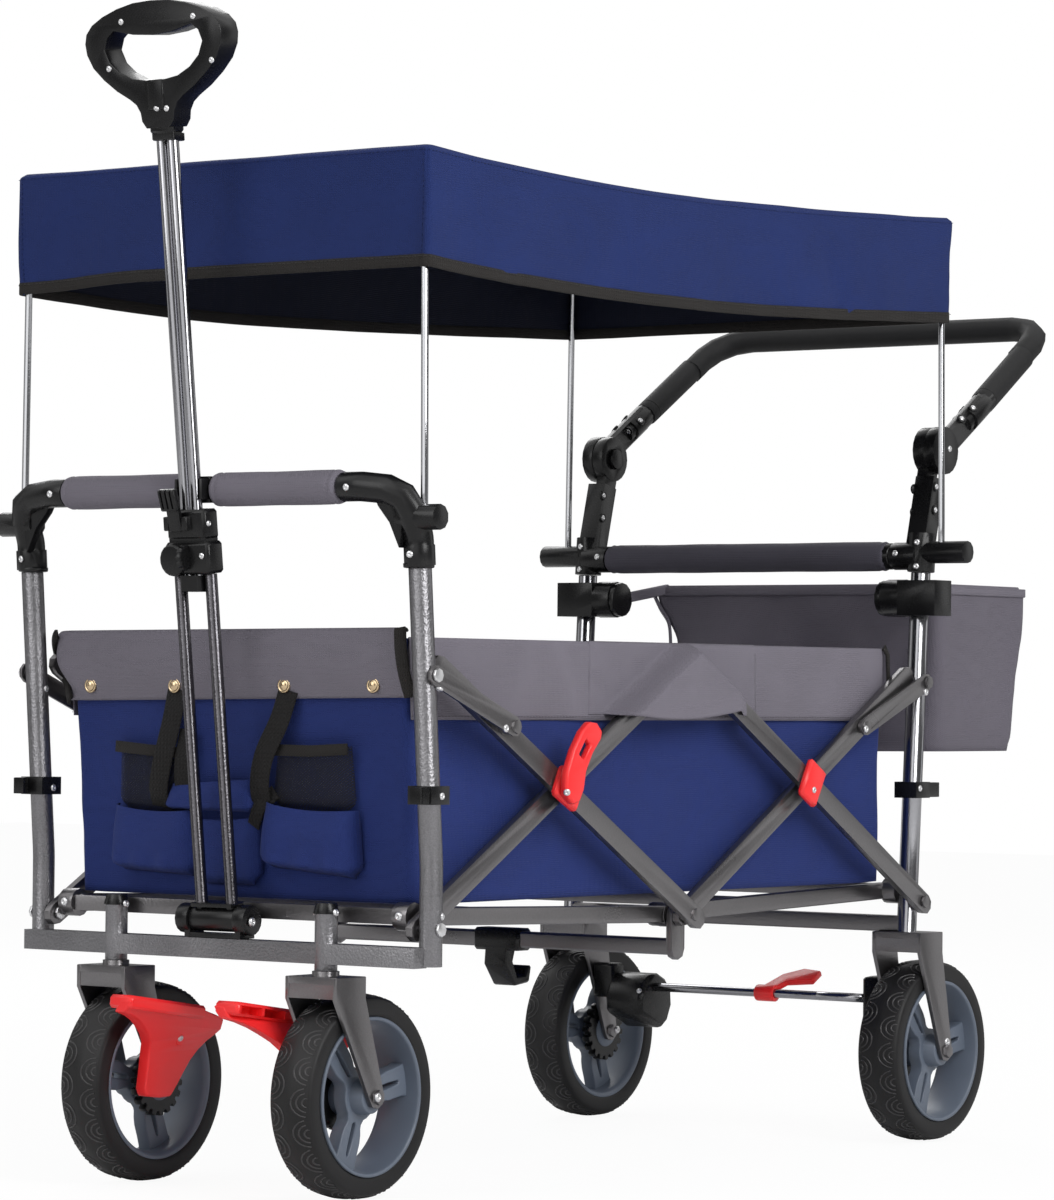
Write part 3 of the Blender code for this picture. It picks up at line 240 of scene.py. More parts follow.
# %% [markdown]
# ## Metal finishes
# Five kinds of bright and dull metal meet on this frame. The end frames have a hammered paint: silver
# flakes that pooled into dimples while it dried. The flat bars have a smooth gunmetal powder coat, and
# the lower tubes of the pull handle a darker one. The canopy rods are chrome, the sliding tubes are
# polished to a satin, and the rivets and screws are zinc. Paint on steel could be a clear coat over
# colour, but a partly metallic base with a rough sheen already reads as metal paint, and keeps its look
# under any light.


# %% A function for every metal
DIMPLE_SCALE = 420.0
FINE_BUMP = 0.00004


def metal(name, colour, dark, roughness, shine=0.9, dimple=0.0, scale=320.0):
    """dimple is the depth of the hammered pattern, and scale the fineness of the grain."""
    finish = Finish(name, Metallic=shine)
    grain = finish.noise(scale)
    patch = finish.noise(14.0, 2.0)
    finish.set("Base Color", finish.blend(grain * 0.55 + patch * 0.45, dark, colour))
    finish.set("Roughness", patch * 0.14 + (roughness - 0.07))
    if dimple:
        cells = finish.node(
            "ShaderNodeTexVoronoi",
            {"feature": "SMOOTH_F1"},
            {"Vector": finish.place(), "Scale": DIMPLE_SCALE, "Smoothness": 0.8},
        )
        finish.bump(cells + grain * 0.5, dimple)
    else:
        finish.bump(grain, FINE_BUMP)
    return finish.material


# %% Hammered paint, coats, satin, chrome and zinc
hammered = metal("hammered_paint", linear(164, 163, 166), linear(84, 83, 86), 0.36, 0.9, 0.00035, 700.0)
gunmetal = metal("gunmetal_coat", linear(138, 136, 137), linear(106, 104, 106), 0.3, 0.9, 0.0001, 700.0)
dusk_metal = metal("dark_steel", linear(122, 120, 124), linear(70, 69, 73), 0.24, 0.95, 0.00012, 500.0)
satin = metal("satin_steel", linear(182, 182, 186), linear(150, 150, 154), 0.17, 1.0)
chrome = metal("chrome", linear(226, 227, 230), linear(200, 201, 205), 0.1, 1.0)
zinc = metal("bright_zinc", linear(240, 240, 241), linear(205, 205, 207), 0.3, 0.9)
print("metals:", [m.name for m in (hammered, gunmetal, dusk_metal, satin, chrome, zinc)])

# %% [markdown]
# ## Plastic, rubber and foam
# Black nylon with a fine spark grain makes the joints, clips and grip. Red nylon marks what a hand or
# foot works. The rims are a blue-grey nylon. The handlebar has a closed-cell foam tube, which drinks
# light: very dark, rough, with a faint skin. A moulded grain is only some tenths of a millimetre deep, so
# it is bump, not mesh.


# %% Moulded plastics and foam
def shades(colour, spread):
    """A darker and a paler version of a colour."""
    return tuple(c * (1 - spread) for c in colour), tuple(min(1.0, c * (1 + spread)) for c in colour)


def moulded(name, colour, roughness, grain=0.00005, variation=0.12, scale=900.0, spark=0.5):
    """grain is the depth of the spark grain, and spark the strength of the reflection."""
    finish = Finish(name, Specular_IOR_Level=spark)
    speck = finish.noise(scale, 2.0)
    cloud = finish.noise(22.0, 3.0)
    finish.set("Base Color", finish.blend(cloud, *shades(colour, variation)))
    finish.set("Roughness", cloud * 0.12 + speck * 0.08 + (roughness - 0.1))
    finish.bump(speck, grain)
    return finish.material


black_plastic = moulded("black_nylon", linear(20, 20, 21), 0.28, spark=0.34)
red_plastic = moulded("red_nylon", linear(253, 44, 46), 0.36, variation=0.05)
rim_plastic = moulded("rim_nylon", linear(98, 107, 121), 0.4, variation=0.08)
foam = moulded("foam_skin", linear(30, 30, 31), 0.62, 0.0002, 0.2, 1400.0, 0.3)
print("plastics:", [m.name for m in (black_plastic, red_plastic, rim_plastic, foam)])

# %% [markdown]
# ## Cloth finishes
# The basket and canopy are a coated polyester, woven plain: every thread passes over one and under the
# next. Up close that is a chequer of tiny pillows. Three sines multiplied in pairs give such a chequer on
# any flat of the wagon, whichever way it faces, so no unwrapping is needed. The colour shifts a little
# with each thread and more over a hand's breadth, where the coating wears and the cloth catches dust.


# %% A plain weave in any direction
def woven(name, colour, pitch=0.0011, roughness=0.68, depth=0.00025, worn=0.16):
    """pitch is the width of a thread pair, and worn how much the colour varies."""
    finish = Finish(name, Specular_IOR_Level=0.16, Sheen_Weight=0.03, Sheen_Roughness=0.5)
    waves = [(part * (math.tau / pitch / 2)).math("SINE") for part in finish.axes(finish.place())]
    pillows = waves[0] * waves[1] + waves[1] * waves[2] + waves[2] * waves[0]
    cloud = finish.noise(9.0, 4.0)
    thread = finish.noise(700.0, 1.0)
    tone = cloud * 0.7 + thread * 0.2 + pillows * 0.05
    finish.set("Base Color", finish.blend(tone, *shades(colour, worn)))
    finish.set("Roughness", cloud * 0.12 + (roughness - 0.06))
    finish.bump(pillows * 0.5 + thread * 0.4, depth)
    return finish.material


navy_cloth = woven("navy_polyester", linear(36, 51, 110))
canopy_cloth = woven("canopy_polyester", linear(29, 45, 98), worn=0.24)
grey_cloth = woven("grey_polyester", linear(118, 114, 124))
bag_cloth = woven("grey_bag_polyester", linear(107, 103, 113))
dusk_cloth = woven("dark_grey_polyester", linear(78, 76, 86))
# The canopy's inner colour is partly its dark coating and partly painted shade under the canopy.
lining_and_painted_shade = woven("canopy_lining", linear(22, 26, 44))
webbing = woven("black_webbing", linear(34, 33, 33), 0.0022, 0.8, 0.0005)
binding = woven("black_binding", linear(44, 42, 41), 0.0016, 0.82, 0.0004)
print("cloths:", [m.name for m in (navy_cloth, canopy_cloth, grey_cloth, bag_cloth, dusk_cloth, lining_and_painted_shade)])

# %% [markdown]
# ## Floor and light
# A studio shot of a product uses large soft lamps, so that tubes show one clean bright band along their
# length and cloth keeps its folds. The white background is the world itself, seen only by the camera, by
# mirrors and through gaps. The cloth is lit by a dimmer world. The floor is a pale sheet that is half lit
# and half white, so the wagon keeps a faint shadow under its wheels.


# %% The white world, and the room that metal reflects
SOFT_BOXES = ((-112, -60, 0.95), (52, 74, 0.75), (104, 132, 0.3), (-172, -150, 0.5))  # from, to, glow
BOX_BLUR = 7
ROOM_GLOW, CEILING_GLOW, CLOTH_GLOW = 0.15, 0.7, 0.5


class Studio(Finish):
    """The world as a finish, so that its nodes are added in the same way."""

    def __init__(self, name):
        world = bpy.data.worlds.new(name)
        world.use_nodes = True
        self.tree = world.node_tree
        self.tree.nodes.clear()
        bpy.context.scene.world = world

    def ray(self, kind):
        return self.node("ShaderNodeLightPath", output=f"Is {kind} Ray")


def studio_world():
    """White for the camera, plain for cloth, and a room of soft boxes and dark corners for metal."""
    studio = Studio("studio")
    x, y, z = studio.axes(studio.node("ShaderNodeTexCoord", output="Generated"))
    turn = y.math("ARCTAN2", x) * (180 / math.pi)
    room = ROOM_GLOW
    for first, last, glow in SOFT_BOXES:
        rise = studio.step(turn, first - BOX_BLUR, first + BOX_BLUR)
        fall = studio.step(turn, last + BOX_BLUR, last - BOX_BLUR)
        room = rise * fall * glow + room
    room = room + studio.step(z, 0.35, 0.65) * CEILING_GLOW
    glossy = studio.ray("Glossy")
    strength = glossy * room + (1 - glossy) * CLOTH_GLOW
    seen = studio.ray("Camera").math("MAXIMUM", studio.ray("Transmission"))
    strength = (1 - seen) * strength + seen
    values = {"Color": (1, 1, 1, 1), "Strength": strength}
    shade = studio.node("ShaderNodeBackground", None, values)
    out = studio.tree.nodes.new("ShaderNodeOutputWorld")
    studio.join(shade, out.inputs["Surface"])


studio_world()
print("soft boxes in the room:", len(SOFT_BOXES))


# %% Three lamps
LAMP_TARGET = Vector((0, 0, 0.5))


def lamp(name, place, size, power):
    """A rectangle of light that looks at the middle of the wagon."""
    data = bpy.data.lights.new(name, "AREA")
    data.shape = "RECTANGLE"
    data.size, data.size_y = size
    data.energy = power
    obj = bpy.data.objects.new(name, data)
    obj.location = place
    obj.rotation_euler = (LAMP_TARGET - Vector(place)).to_track_quat("-Z", "Y").to_euler()
    bpy.context.scene.collection.objects.link(obj)


lamp("key", (3.2, -1.0, 2.2), (1.6, 2.2), 76)
lamp("front", (-1.0, -3.6, 2.2), (1.8, 2.0), 22)
lamp("back", (-2.6, 2.4, 2.6), (2.0, 1.6), 30)

# %% The floor
FLOOR_HALF, FLOOR_Z = 9, -0.0006
WHITE_SHARE, WHITE_GLOW = 0.92, 1.02

floor_finish = Finish("pale_floor", Roughness=1.0, Specular_IOR_Level=0.0)
floor_finish.set("Base Color", floor_finish.blend(floor_finish.noise(3.0), (0.9,) * 3, (0.92,) * 3))
camera_ray, clear_ray = (
    floor_finish.node("ShaderNodeLightPath", output=f"Is {kind} Ray") for kind in ("Camera", "Transmission")
)
glow = floor_finish.node("ShaderNodeEmission", None, {"Strength": WHITE_GLOW})
painted = Wire(floor_finish, floor_finish.shader.outputs[0])
share = camera_ray.math("MAXIMUM", clear_ray) * WHITE_SHARE
white = floor_finish.node("ShaderNodeMixShader", None, {0: share, 1: painted, 2: glow})
out = next(n for n in floor_finish.tree.nodes if n.type == "OUTPUT_MATERIAL")
floor_finish.join(white, out.inputs["Surface"])

corners = [(x * FLOOR_HALF, y * FLOOR_HALF, FLOOR_Z) for x, y in ((-1, -1), (1, -1), (1, 1), (-1, 1))]
floor_mesh = bpy.data.meshes.new("floor")
floor_mesh.from_pydata(corners, [], [(0, 1, 2, 3)])
floor_mesh.materials.append(floor_finish.material)
floor = bpy.data.objects.new("floor", floor_mesh)
bpy.context.scene.collection.objects.link(floor)
print("floor", 2 * FLOOR_HALF, "m wide")

# %% [markdown]
# ## Dressing the CAD nodes
# The CAD model is made of flat facets. Its round tubes should look round, so each node gets a modifier
# that welds the facets together and shades them smoothly wherever two of them meet at a small angle.
# Sharp edges get a hair-thin bevel first, because on a real casting or tube no edge is perfectly sharp,
# and the light that runs along it is what makes it look solid. Modifiers leave the CAD mesh itself as it
# is.


# %% Weld, round off and smooth
SOFT_ANGLE = math.radians(38)
EDGE_BEVEL, BAR_BEVEL, MOULD_BEVEL = 0.0005, 0.0011, 0.0012
WELD_REACH = 0.00002


def smoothing_group():
    """Nodes that shade every face smoothly and leave the edges above SOFT_ANGLE sharp."""
    group = bpy.data.node_groups.new("smooth_facets", "GeometryNodeTree")
    for way in ("INPUT", "OUTPUT"):
        group.interface.new_socket("Geometry", in_out=way, socket_type="NodeSocketGeometry")
    first = group.nodes.new("NodeGroupInput")
    last = group.nodes.new("NodeGroupOutput")
    plain = group.nodes.new("GeometryNodeRemoveAttribute")
    plain.inputs["Name"].default_value = "custom_normal"
    faces = group.nodes.new("GeometryNodeSetShadeSmooth")
    faces.domain = "FACE"
    edges = group.nodes.new("GeometryNodeSetShadeSmooth")
    edges.domain = "EDGE"
    edges.inputs["Shade Smooth"].default_value = False
    turn = group.nodes.new("GeometryNodeInputMeshEdgeAngle")
    sharp = group.nodes.new("FunctionNodeCompare")
    sharp.operation = "GREATER_THAN"
    sharp.inputs["B"].default_value = SOFT_ANGLE
    group.links.new(first.outputs[0], plain.inputs["Geometry"])
    group.links.new(plain.outputs[0], faces.inputs["Geometry"])
    group.links.new(faces.outputs[0], edges.inputs["Geometry"])
    group.links.new(turn.outputs["Unsigned Angle"], sharp.inputs["A"])
    group.links.new(sharp.outputs[0], edges.inputs["Selection"])
    group.links.new(edges.outputs[0], last.inputs[0])
    return group


SMOOTH = smoothing_group()


def smooth(obj, bevel=0.0):
    """Smooth shading, after a bevel where one is asked for."""
    if bevel:
        weld = obj.modifiers.new("weld", "WELD")
        weld.merge_threshold = WELD_REACH
        edge = obj.modifiers.new("bevel", "BEVEL")
        edge.width = bevel
        edge.segments = 2
        edge.limit_method = "ANGLE"
        edge.angle_limit = SOFT_ANGLE
    facets = obj.modifiers.new("smooth", "NODES")
    facets.node_group = SMOOTH


print("edges above", round(math.degrees(SOFT_ANGLE)), "degrees stay sharp")


# %% [markdown]
# ## One finish for a node, another for a spot on it
# Some nodes are one solid but several materials: the front frame carries black clips and bright rivets. A
# part of a node is picked by a box in space. Every facet that lies wholly inside takes the box's finish.
# That works because the clip was a separate block before it was joined, so its facets end where it ends.


# %% Paint a node, and boxes on it
SPOT_SLACK = 0.0004


def paint(name, finish, *spots, bevel=EDGE_BEVEL):
    """Each spot is (finish, x range, y range, z range); a spot is mirrored to both sides."""
    obj = NODES[name]
    mesh = obj.data
    mesh.materials.clear()
    mesh.materials.append(finish)
    points = np.array([v.co for v in mesh.vertices])
    points[:, 1] -= SHIFT
    for number, (spot, *ranges) in enumerate(spots, 1):
        mesh.materials.append(spot)
        low, high = np.array(ranges).T + ((-SPOT_SLACK,), (SPOT_SLACK,))
        for sign in (1, -1):
            mirrored = points * (sign, 1, 1)
            inside = np.all((mirrored > low) & (mirrored < high), axis=1)
            for face in mesh.polygons:
                if inside[list(face.vertices)].all():
                    face.material_index = number
    smooth(obj, bevel)


paint(
    "front_frame",
    hammered,
    (black_plastic, (0.19, 0.28), (-0.56, -0.47), (0.376, 0.420)),
    (black_plastic, (0.10, 0.17), (-0.54, -0.49), (0.280, 0.310)),
    (zinc, (0.2626, 0.28), (-0.52, -0.48), (0.26, 0.285)),
    (zinc, (0.2626, 0.28), (-0.53, -0.48), (0.505, 0.53)),
    (zinc, (0.2262, 0.2402), (-0.51, -0.48), (0.26, 0.28)),
)
paint(
    "rear_frame",
    gunmetal,
    (satin, (0.2195, 0.2425), (0.37, 0.47), (0.2346, 0.645)),
    (black_plastic, (0.19, 0.26), (0.37, 0.46), (0.376, 0.416)),
)
paint("handlebar", gunmetal, (black_plastic, (0.20, 0.26), (0.43, 0.60), (0.70, 0.864)))
paint(
    "middle_tube",
    gunmetal,
    (black_plastic, (-0.0165, 0.0165), (-0.06, 0.0), (0.18, 0.232)),
    (black_plastic, (-0.031, 0.031), (-0.06, 0.0), (0.22, 0.25)),
)
paint("pull_lower_tubes", dusk_metal, (black_plastic, (-0.03, 0.03), (-0.56, -0.49), (0.255, 0.2895)))
paint("bag_frame", grey_cloth, (black_plastic, (0.175, 0.21), (0.41, 0.5232), (0.55, 0.66)))
print("nodes with spots:", sum(len(o.data.materials) > 1 for o in NODES.values()))

# %% Bars with red saddles, and all nodes of one finish
SADDLE_X, SADDLE_Z = (0.2504, 0.268), (0.365, 0.440)
BARS = {
    "front_link": (),
    "rear_link": (),
    "front_riser_bar": (),
    "rear_lock_bar": (),
    "front_lock_bar": ((red_plastic, SADDLE_X, (-0.312, -0.245), SADDLE_Z),),
    "rear_riser_bar": ((red_plastic, SADDLE_X, (0.130, 0.215), SADDLE_Z),),
}
BLACK_PAIRS = ("top_elbow", "handle_column", "hub_button", "bag_clamp", "brake_housing")
for word in ("right", "left"):
    for name in BLACK_PAIRS:
        paint(f"{name}_{word}", black_plastic)
    paint(f"caster_fork_{word}", gunmetal)
    for name, spots in BARS.items():
        paint(f"{name}_{word}", gunmetal, *spots, bevel=BAR_BEVEL)
    for name in ("front_brake_pedal", "latch_lever"):
        paint(f"{name}_{word}", red_plastic, bevel=MOULD_BEVEL)
BLACK_NODES = ("top_bar", "rear_top_bar", "pull_pivot_bracket", "pull_clamp", "clamp_lever", "pull_grip")
PLAIN = {
    black_plastic: BLACK_NODES,
    chrome: ("canopy_hoop_front", "canopy_hoop_rear"),
    foam: ("handlebar_grip",),
    satin: ("brake_rod", "pull_upper_tubes"),
    red_plastic: ("brake_pedal",),
    gunmetal: ("floor_frame_front", "floor_frame_rear"),
}
for finish, names in PLAIN.items():
    for name in names:
        paint(name, finish)
print("painted", sum(bool(o.modifiers) for o in NODES.values()), "nodes")

# %% [markdown]
# ## Lofts: the way cloth, rubber and straps are made here
# Almost every soft thing on the wagon can be described by rows of points: the rim of a basket at each
# height, the outline of a tyre at each angle, the two edges of a strap. Joining each row to the next
# gives a skin, called a loft. It keeps an even grid, so folds and dents are one sum per point, and it can
# be checked row by row.


# %% A piece from points, and a loft from rows
def piece(name, points, faces, finish, body, thick=0.0, inner=None):
    """A smooth mesh, with points counted in the wagon's own frame. thick gives a sheet its two sides."""
    mesh = bpy.data.meshes.new(name)
    mesh.from_pydata([(x, y + SHIFT, z) for x, y, z in points], [], faces)
    mesh.materials.append(finish)
    mesh.shade_smooth()
    obj = bpy.data.objects.new(name, mesh)
    bpy.context.scene.collection.objects.link(obj)
    if thick:
        skin = obj.modifiers.new("thickness", "SOLIDIFY")
        skin.thickness = thick
        skin.offset = -1
        if inner:
            mesh.materials.append(inner)
            skin.material_offset = 1
    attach(obj, body)
    return obj


def loft(name, rows, finish, body, closed=True, capped=False, filled=False, flip=False, **more):
    """A skin through rows of equal length. closed joins each row's last point to its first.

    capped adds a face at both ends, filled only at the first row, and flip turns the skin inside out.
    """
    count = len(rows[0])
    points = [point for row in rows for point in row]
    faces = []
    for start in range(0, len(points) - count, count):
        for i in range(count if closed else count - 1):
            after = (i + 1) % count
            faces.append((start + i, start + after, start + count + after, start + count + i))
    if capped or filled:
        faces.append(tuple(range(count))[::-1])
    if capped:
        faces.append(tuple(range(len(points) - count, len(points))))
    if flip:
        faces = [face[::-1] for face in faces]
    return piece(name, points, faces, finish, body, **more)


print("tools for soft pieces:", piece.__name__, loft.__name__)


# %% Small sums that every soft piece uses
def between(low, high, share):
    return low + (high - low) * share


def clamp(value):
    return min(1.0, max(0.0, value))


def ease(value, low, high):
    """0 below low, 1 above high, and a smooth way between."""
    share = clamp((value - low) / (high - low))
    return share * share * (3 - 2 * share)


def arch(share):
    """0 at both ends and 1 in the middle."""
    return math.sin(math.pi * clamp(share))


def bell(distance, width):
    """1 at no distance, and almost 0 beyond two widths."""
    return math.exp(-((distance / width) ** 2))


def crumple(x, y, z, size, depth):
    """A soft random dent, about size across."""
    spot = Vector((x, y, z)) / size
    return depth * (noise.noise(spot) + 0.4 * noise.noise(spot * 2.3))


print("a dent at the origin:", round(crumple(0.1, 0.2, 0.3, 0.1, 0.004), 5))

# %% [markdown]
# ## Rounded rectangles
# Seen from above, the canopy, the basket and the bag are all rectangles with rounded corners. One ring
# gives the points of such a rectangle together with the direction that faces outwards at each point.
# Every ring has the same number of points on each side and in each corner, so any two rings can be
# joined, whatever their size.

# %% A ring with its outward directions
ACROSS, ALONG, CORNER = 30, 56, 6


def ring(left, right, front, rear, radius):
    """(x, y, outward x, outward y) round a rectangle, from the front right corner along the right side."""
    corners = (
        (right - radius, front + radius, -90),
        (right - radius, rear - radius, 0),
        (left + radius, rear - radius, 90),
        (left + radius, front + radius, 180),
    )
    arcs = []
    for x, y, start in corners:
        turns = [math.radians(start + 90 * k / CORNER) for k in range(CORNER + 1)]
        arcs.append(
            [(x + radius * math.cos(t), y + radius * math.sin(t), math.cos(t), math.sin(t)) for t in turns]
        )
    points = []
    for number, arc in enumerate(arcs):
        points += arc
        steps = ACROSS if number % 2 else ALONG
        first, last = arc[-1], arcs[(number + 1) % 4][0]
        for share in (k / steps for k in range(1, steps)):
            x, y = (between(first[axis], last[axis], share) for axis in (0, 1))
            points.append((x, y, *first[2:]))
    return points


print("points in a ring:", len(ring(-1, 1, -1, 1, 0.1)))

# %% [markdown]
# ## The canopy
# The canopy is a box without a floor: a top panel with a valance sewn round it, pulled over two hoops. It
# is one continuous sheet here, lofted from the middle of the top out to the rim and down the valance. The
# cloth hangs between the hoops, so its long edges sag. The valance corners are tight at the top seam and
# looser below, so the corner radius grows on the way down. The cloth is thin, with a dark coating inside,
# and its inner side is painted darker still: that extra darkness is painted shade under the canopy.

# %% The top panel
CANOPY_HALF, CANOPY_FRONT, CANOPY_REAR = 0.2665, -0.532, 0.442
CANOPY_HIGH, CANOPY_CLIMB = 1.029, 0.011
CANOPY_SAG, CANOPY_BELLY = 0.016, 0.010
PANEL_SIZES = (0.02, 0.1, 0.2, 0.3, 0.4, 0.5, 0.6, 0.68, 0.76, 0.83, 0.89, 0.94, 0.97, 0.988)


def canopy_top(x, y):
    """Height of the top panel: it climbs to the rear, sags between the hoops and bellies in the middle."""
    share = (y - CANOPY_FRONT) / (CANOPY_REAR - CANOPY_FRONT)
    sag = CANOPY_SAG * arch(clamp(share) ** 0.85) * (1.0 if x > 0 else 0.8)
    belly = CANOPY_BELLY * (1 - (abs(x) / CANOPY_HALF) ** 2) * arch(share)
    return CANOPY_HIGH + CANOPY_CLIMB * share - sag - belly


def panel_row(size):
    """One ring of the top panel. size is its share of the whole panel."""
    middle = (CANOPY_FRONT + CANOPY_REAR) / 2
    half = (CANOPY_REAR - CANOPY_FRONT) / 2 * size
    side = CANOPY_HALF * size
    return [
        (x, y, canopy_top(x, y) - 0.0004 * size + crumple(x, y, 0.3, 0.13, 0.0030) * (1 - 0.6 * size))
        for x, y, _, _ in ring(-side, side, middle - half, middle + half, 0.007 * size)
    ]


panel_rows = [panel_row(size) for size in PANEL_SIZES]
print("canopy top:", len(panel_rows), "rings")

# %% The valance, and both as one sheet
VALANCE_DROP, VALANCE_UNEVEN = 0.118, 0.003
SEAM_TUCK, SEAM_STEP, SEAM_IN = 0.0026, 0.0012, 0.011
SIDE_FOLD_Y, SIDE_FOLD_SLANT, SIDE_FOLD_WIDE, SIDE_FOLD_DEEP = 0.150, 0.075, 0.012, 0.0030
CANOPY_THICK = 0.0014


def valance_push(x, y, out_x, out_y, level):
    """How far the hanging cloth stands out: dents, slow waves, a fold on the right, and the corner seams."""
    loose = ease(level, 0.02, 0.6)
    at_end = abs(out_y) > 0.7
    along = x if at_end else y
    dents = crumple(x, y, level * 0.06, 0.10, 0.0044) + crumple(x, y, level * 0.10, 0.036, 0.0010)
    push = dents * loose + 0.0018 * math.sin(along * 17 + 3 * out_x + 1.5 * level) * loose
    if at_end:
        push += SEAM_STEP * ease(CANOPY_HALF - SEAM_IN - abs(x), -0.0016, 0.0016) - SEAM_STEP
    elif x > 0:
        fold = y - (SIDE_FOLD_Y + SIDE_FOLD_SLANT * level)
        push -= SIDE_FOLD_DEEP * bell(fold, SIDE_FOLD_WIDE) * loose
    return push


def valance_row(level):
    """One ring of the valance. level is 0 at the top seam and 1 at the hem."""
    tuck = 0.0020 * (1 - ease(level, 0, 0.02)) + 0.0008 * level
    side = CANOPY_HALF - tuck
    row = []
    radius = 0.006 + 0.004 * level**1.5
    for x, y, out_x, out_y in ring(-side, side, CANOPY_FRONT + tuck, CANOPY_REAR - tuck, radius):
        push = valance_push(x, y, out_x, out_y, level)
        drop = VALANCE_DROP + VALANCE_UNEVEN * (2 * ease(-x, 0.1, 0.26) * ease(-y, -0.2, 0.4) - 1)
        row.append((x + out_x * push, y + out_y * push, canopy_top(x, y) - SEAM_TUCK - drop * level))
    return row


levels = [0.0, 0.012, 0.03, *(0.03 + 0.97 * k / 22 for k in range(1, 23))]
canopy_sheet = panel_rows + [valance_row(level) for level in levels]
# The inner side takes the lining colour, which is partly painted shade.
canopy = loft(
    "canopy_cloth",
    canopy_sheet,
    canopy_cloth,
    "front_frame",
    filled=True,
    flip=True,
    thick=CANOPY_THICK,
    inner=lining_and_painted_shade,
)
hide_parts("canopy")
print("canopy rows", len(canopy_sheet), "of", len(canopy_sheet[0]))

# %% [markdown]
# ## Bindings
# Raw cloth edges fray, so each is wrapped in a folded tape and stitched through. The tape is a loft of
# its own: at every point of the edge a small flat loop is drawn, a little taller than it is thick, and
# the loops are joined. The stitches are short threads that stand on the tape. At this scale a thread is a
# tiny capsule, and hundreds of them are one mesh.


# %% A tape along an edge
TAPE_LOOP = (
    (0.5, 0.0),
    (0.5, 0.97),
    (0.32, 1.0),
    (-0.32, 1.0),
    (-0.5, 0.97),
    (-0.5, 0.0),
    (-0.3, -0.09),
    (0.3, -0.09),
)
TAPE_IN = 0.0008


def tape(name, edge, outward, finish, body, height=0.011, thick=0.0034):
    """Wraps a closed edge. outward holds the flat direction away from the cloth's inside, point by point."""
    rows = []
    for (x, y, z), (out_x, out_y) in zip(edge, outward):
        loop = []
        for across, rise in TAPE_LOOP:
            shift = across * thick - TAPE_IN
            loop.append((x + out_x * shift, y + out_y * shift, z + rise * height))
        rows.append(loop)
    return loft(name, [*rows, rows[0]], finish, body)


canopy_edge = ring(-CANOPY_HALF, CANOPY_HALF, CANOPY_FRONT, CANOPY_REAR, 0.010)
hem = tape(
    "canopy_binding", canopy_sheet[-1], [point[2:] for point in canopy_edge], binding, "front_frame"
)
print("tape points:", len(hem.data.vertices))

# %% A row of stitches
STITCH, STITCH_PITCH, THREAD_RADIUS, THREAD_SIDES = 0.0034, 0.0052, 0.00035, 5
STITCH_SHAPE = ((0.0, 0.3), (0.25, 1.0), (0.75, 1.0), (1.0, 0.3))  # share of the length, share of the radius


def stitches(name, line, finish, body):
    """Short threads along a line of points."""
    points, faces = [], []
    carried = 0.0
    for first, last in zip(line, line[1:]):
        first, last = Vector(first), Vector(last)
        reach = (last - first).length
        if reach < 1e-6:
            continue
        along = (last - first) / reach
        side = along.cross(Vector((0.3, 0.2, 1))).normalized()
        rise = along.cross(side)
        while carried < reach:
            start = first + along * carried
            base = len(points)
            for place, swell in STITCH_SHAPE:
                for turn in (math.tau * k / THREAD_SIDES for k in range(THREAD_SIDES)):
                    off = (side * math.cos(turn) + rise * math.sin(turn)) * THREAD_RADIUS * swell
                    points.append(tuple(start + along * (place * STITCH) + off))
            for corner in range(base, len(points) - THREAD_SIDES, THREAD_SIDES):
                for k in range(THREAD_SIDES):
                    a, b = corner + k, corner + (k + 1) % THREAD_SIDES
                    faces.append((a, b, b + THREAD_SIDES, a + THREAD_SIDES))
            carried += STITCH_PITCH
        carried -= reach
    return piece(name, points, faces, finish, body)


grey_thread = woven("grey_thread", linear(96, 94, 100), 0.0006)
navy_thread = woven("navy_thread", linear(34, 46, 92), 0.0006)
black_thread = woven("black_thread", linear(70, 68, 66), 0.0006)
print("threads:", grey_thread.name, navy_thread.name, black_thread.name)

# %% Threads of the canopy
TOP_SEAM_ROW = len(PANEL_SIZES) + 2
END_SEAM_X = CANOPY_HALF - 0.016
THREAD_OUT = 0.0006


def off_edge(row, out, rise=0.0):
    """A row of the canopy, moved out from the cloth and closed."""
    line = [
        (x + out_x * out, y + out_y * out, z + rise)
        for (x, y, z), (_, _, out_x, out_y) in zip(row, canopy_edge)
    ]
    return line + line[:1]


hem_thread = stitches(
    "canopy_hem_thread", off_edge(canopy_sheet[-1], 0.0012, 0.0088), black_thread, "front_frame"
)
seam_lines = [off_edge(canopy_sheet[TOP_SEAM_ROW], THREAD_OUT)]
for side in (1, -1):
    column = min(
        range(len(canopy_edge)),
        key=lambda k: abs(canopy_edge[k][0] - side * END_SEAM_X) + abs(canopy_edge[k][1] - CANOPY_FRONT),
    )
    corner_line = [row[column] for row in canopy_sheet[TOP_SEAM_ROW - 1 :]]
    seam_lines.append([(x, y - THREAD_OUT, z) for x, y, z in corner_line])
seam_threads = [
    stitches(f"canopy_seam_thread_{number}", line, navy_thread, "front_frame")
    for number, line in enumerate(seam_lines)
]
print("hem stitches:", len(hem_thread.data.polygons) // 15)

# %% [markdown]
# ## The basket
# The basket is a deep cloth box on the folding floor. Navy cloth makes the walls, and a grey band is sewn
# round the top. The walls are tight at the corners, which hang from the frame, and slack between, so they
# carry shallow dents. The loft starts in the middle of the floor, goes out to the walls and climbs them.
# The front wall leans forward with the posts.

# %% The navy box
BASKET_LOW, BASKET_HIGH = 0.2915, 0.5520
BASKET_HALF_LOW, BASKET_HALF_HIGH = 0.2165, 0.2200
BASKET_MIDDLE_Y = -0.052
BASKET_CORNER = 0.013
WALL_ROWS = 35
SHEET_THICK = 0.0014


def basket_rise(z):
    """0 at the floor of the basket and 1 at its rim."""
    return (z - BASKET_LOW) / (BASKET_HIGH - BASKET_LOW)


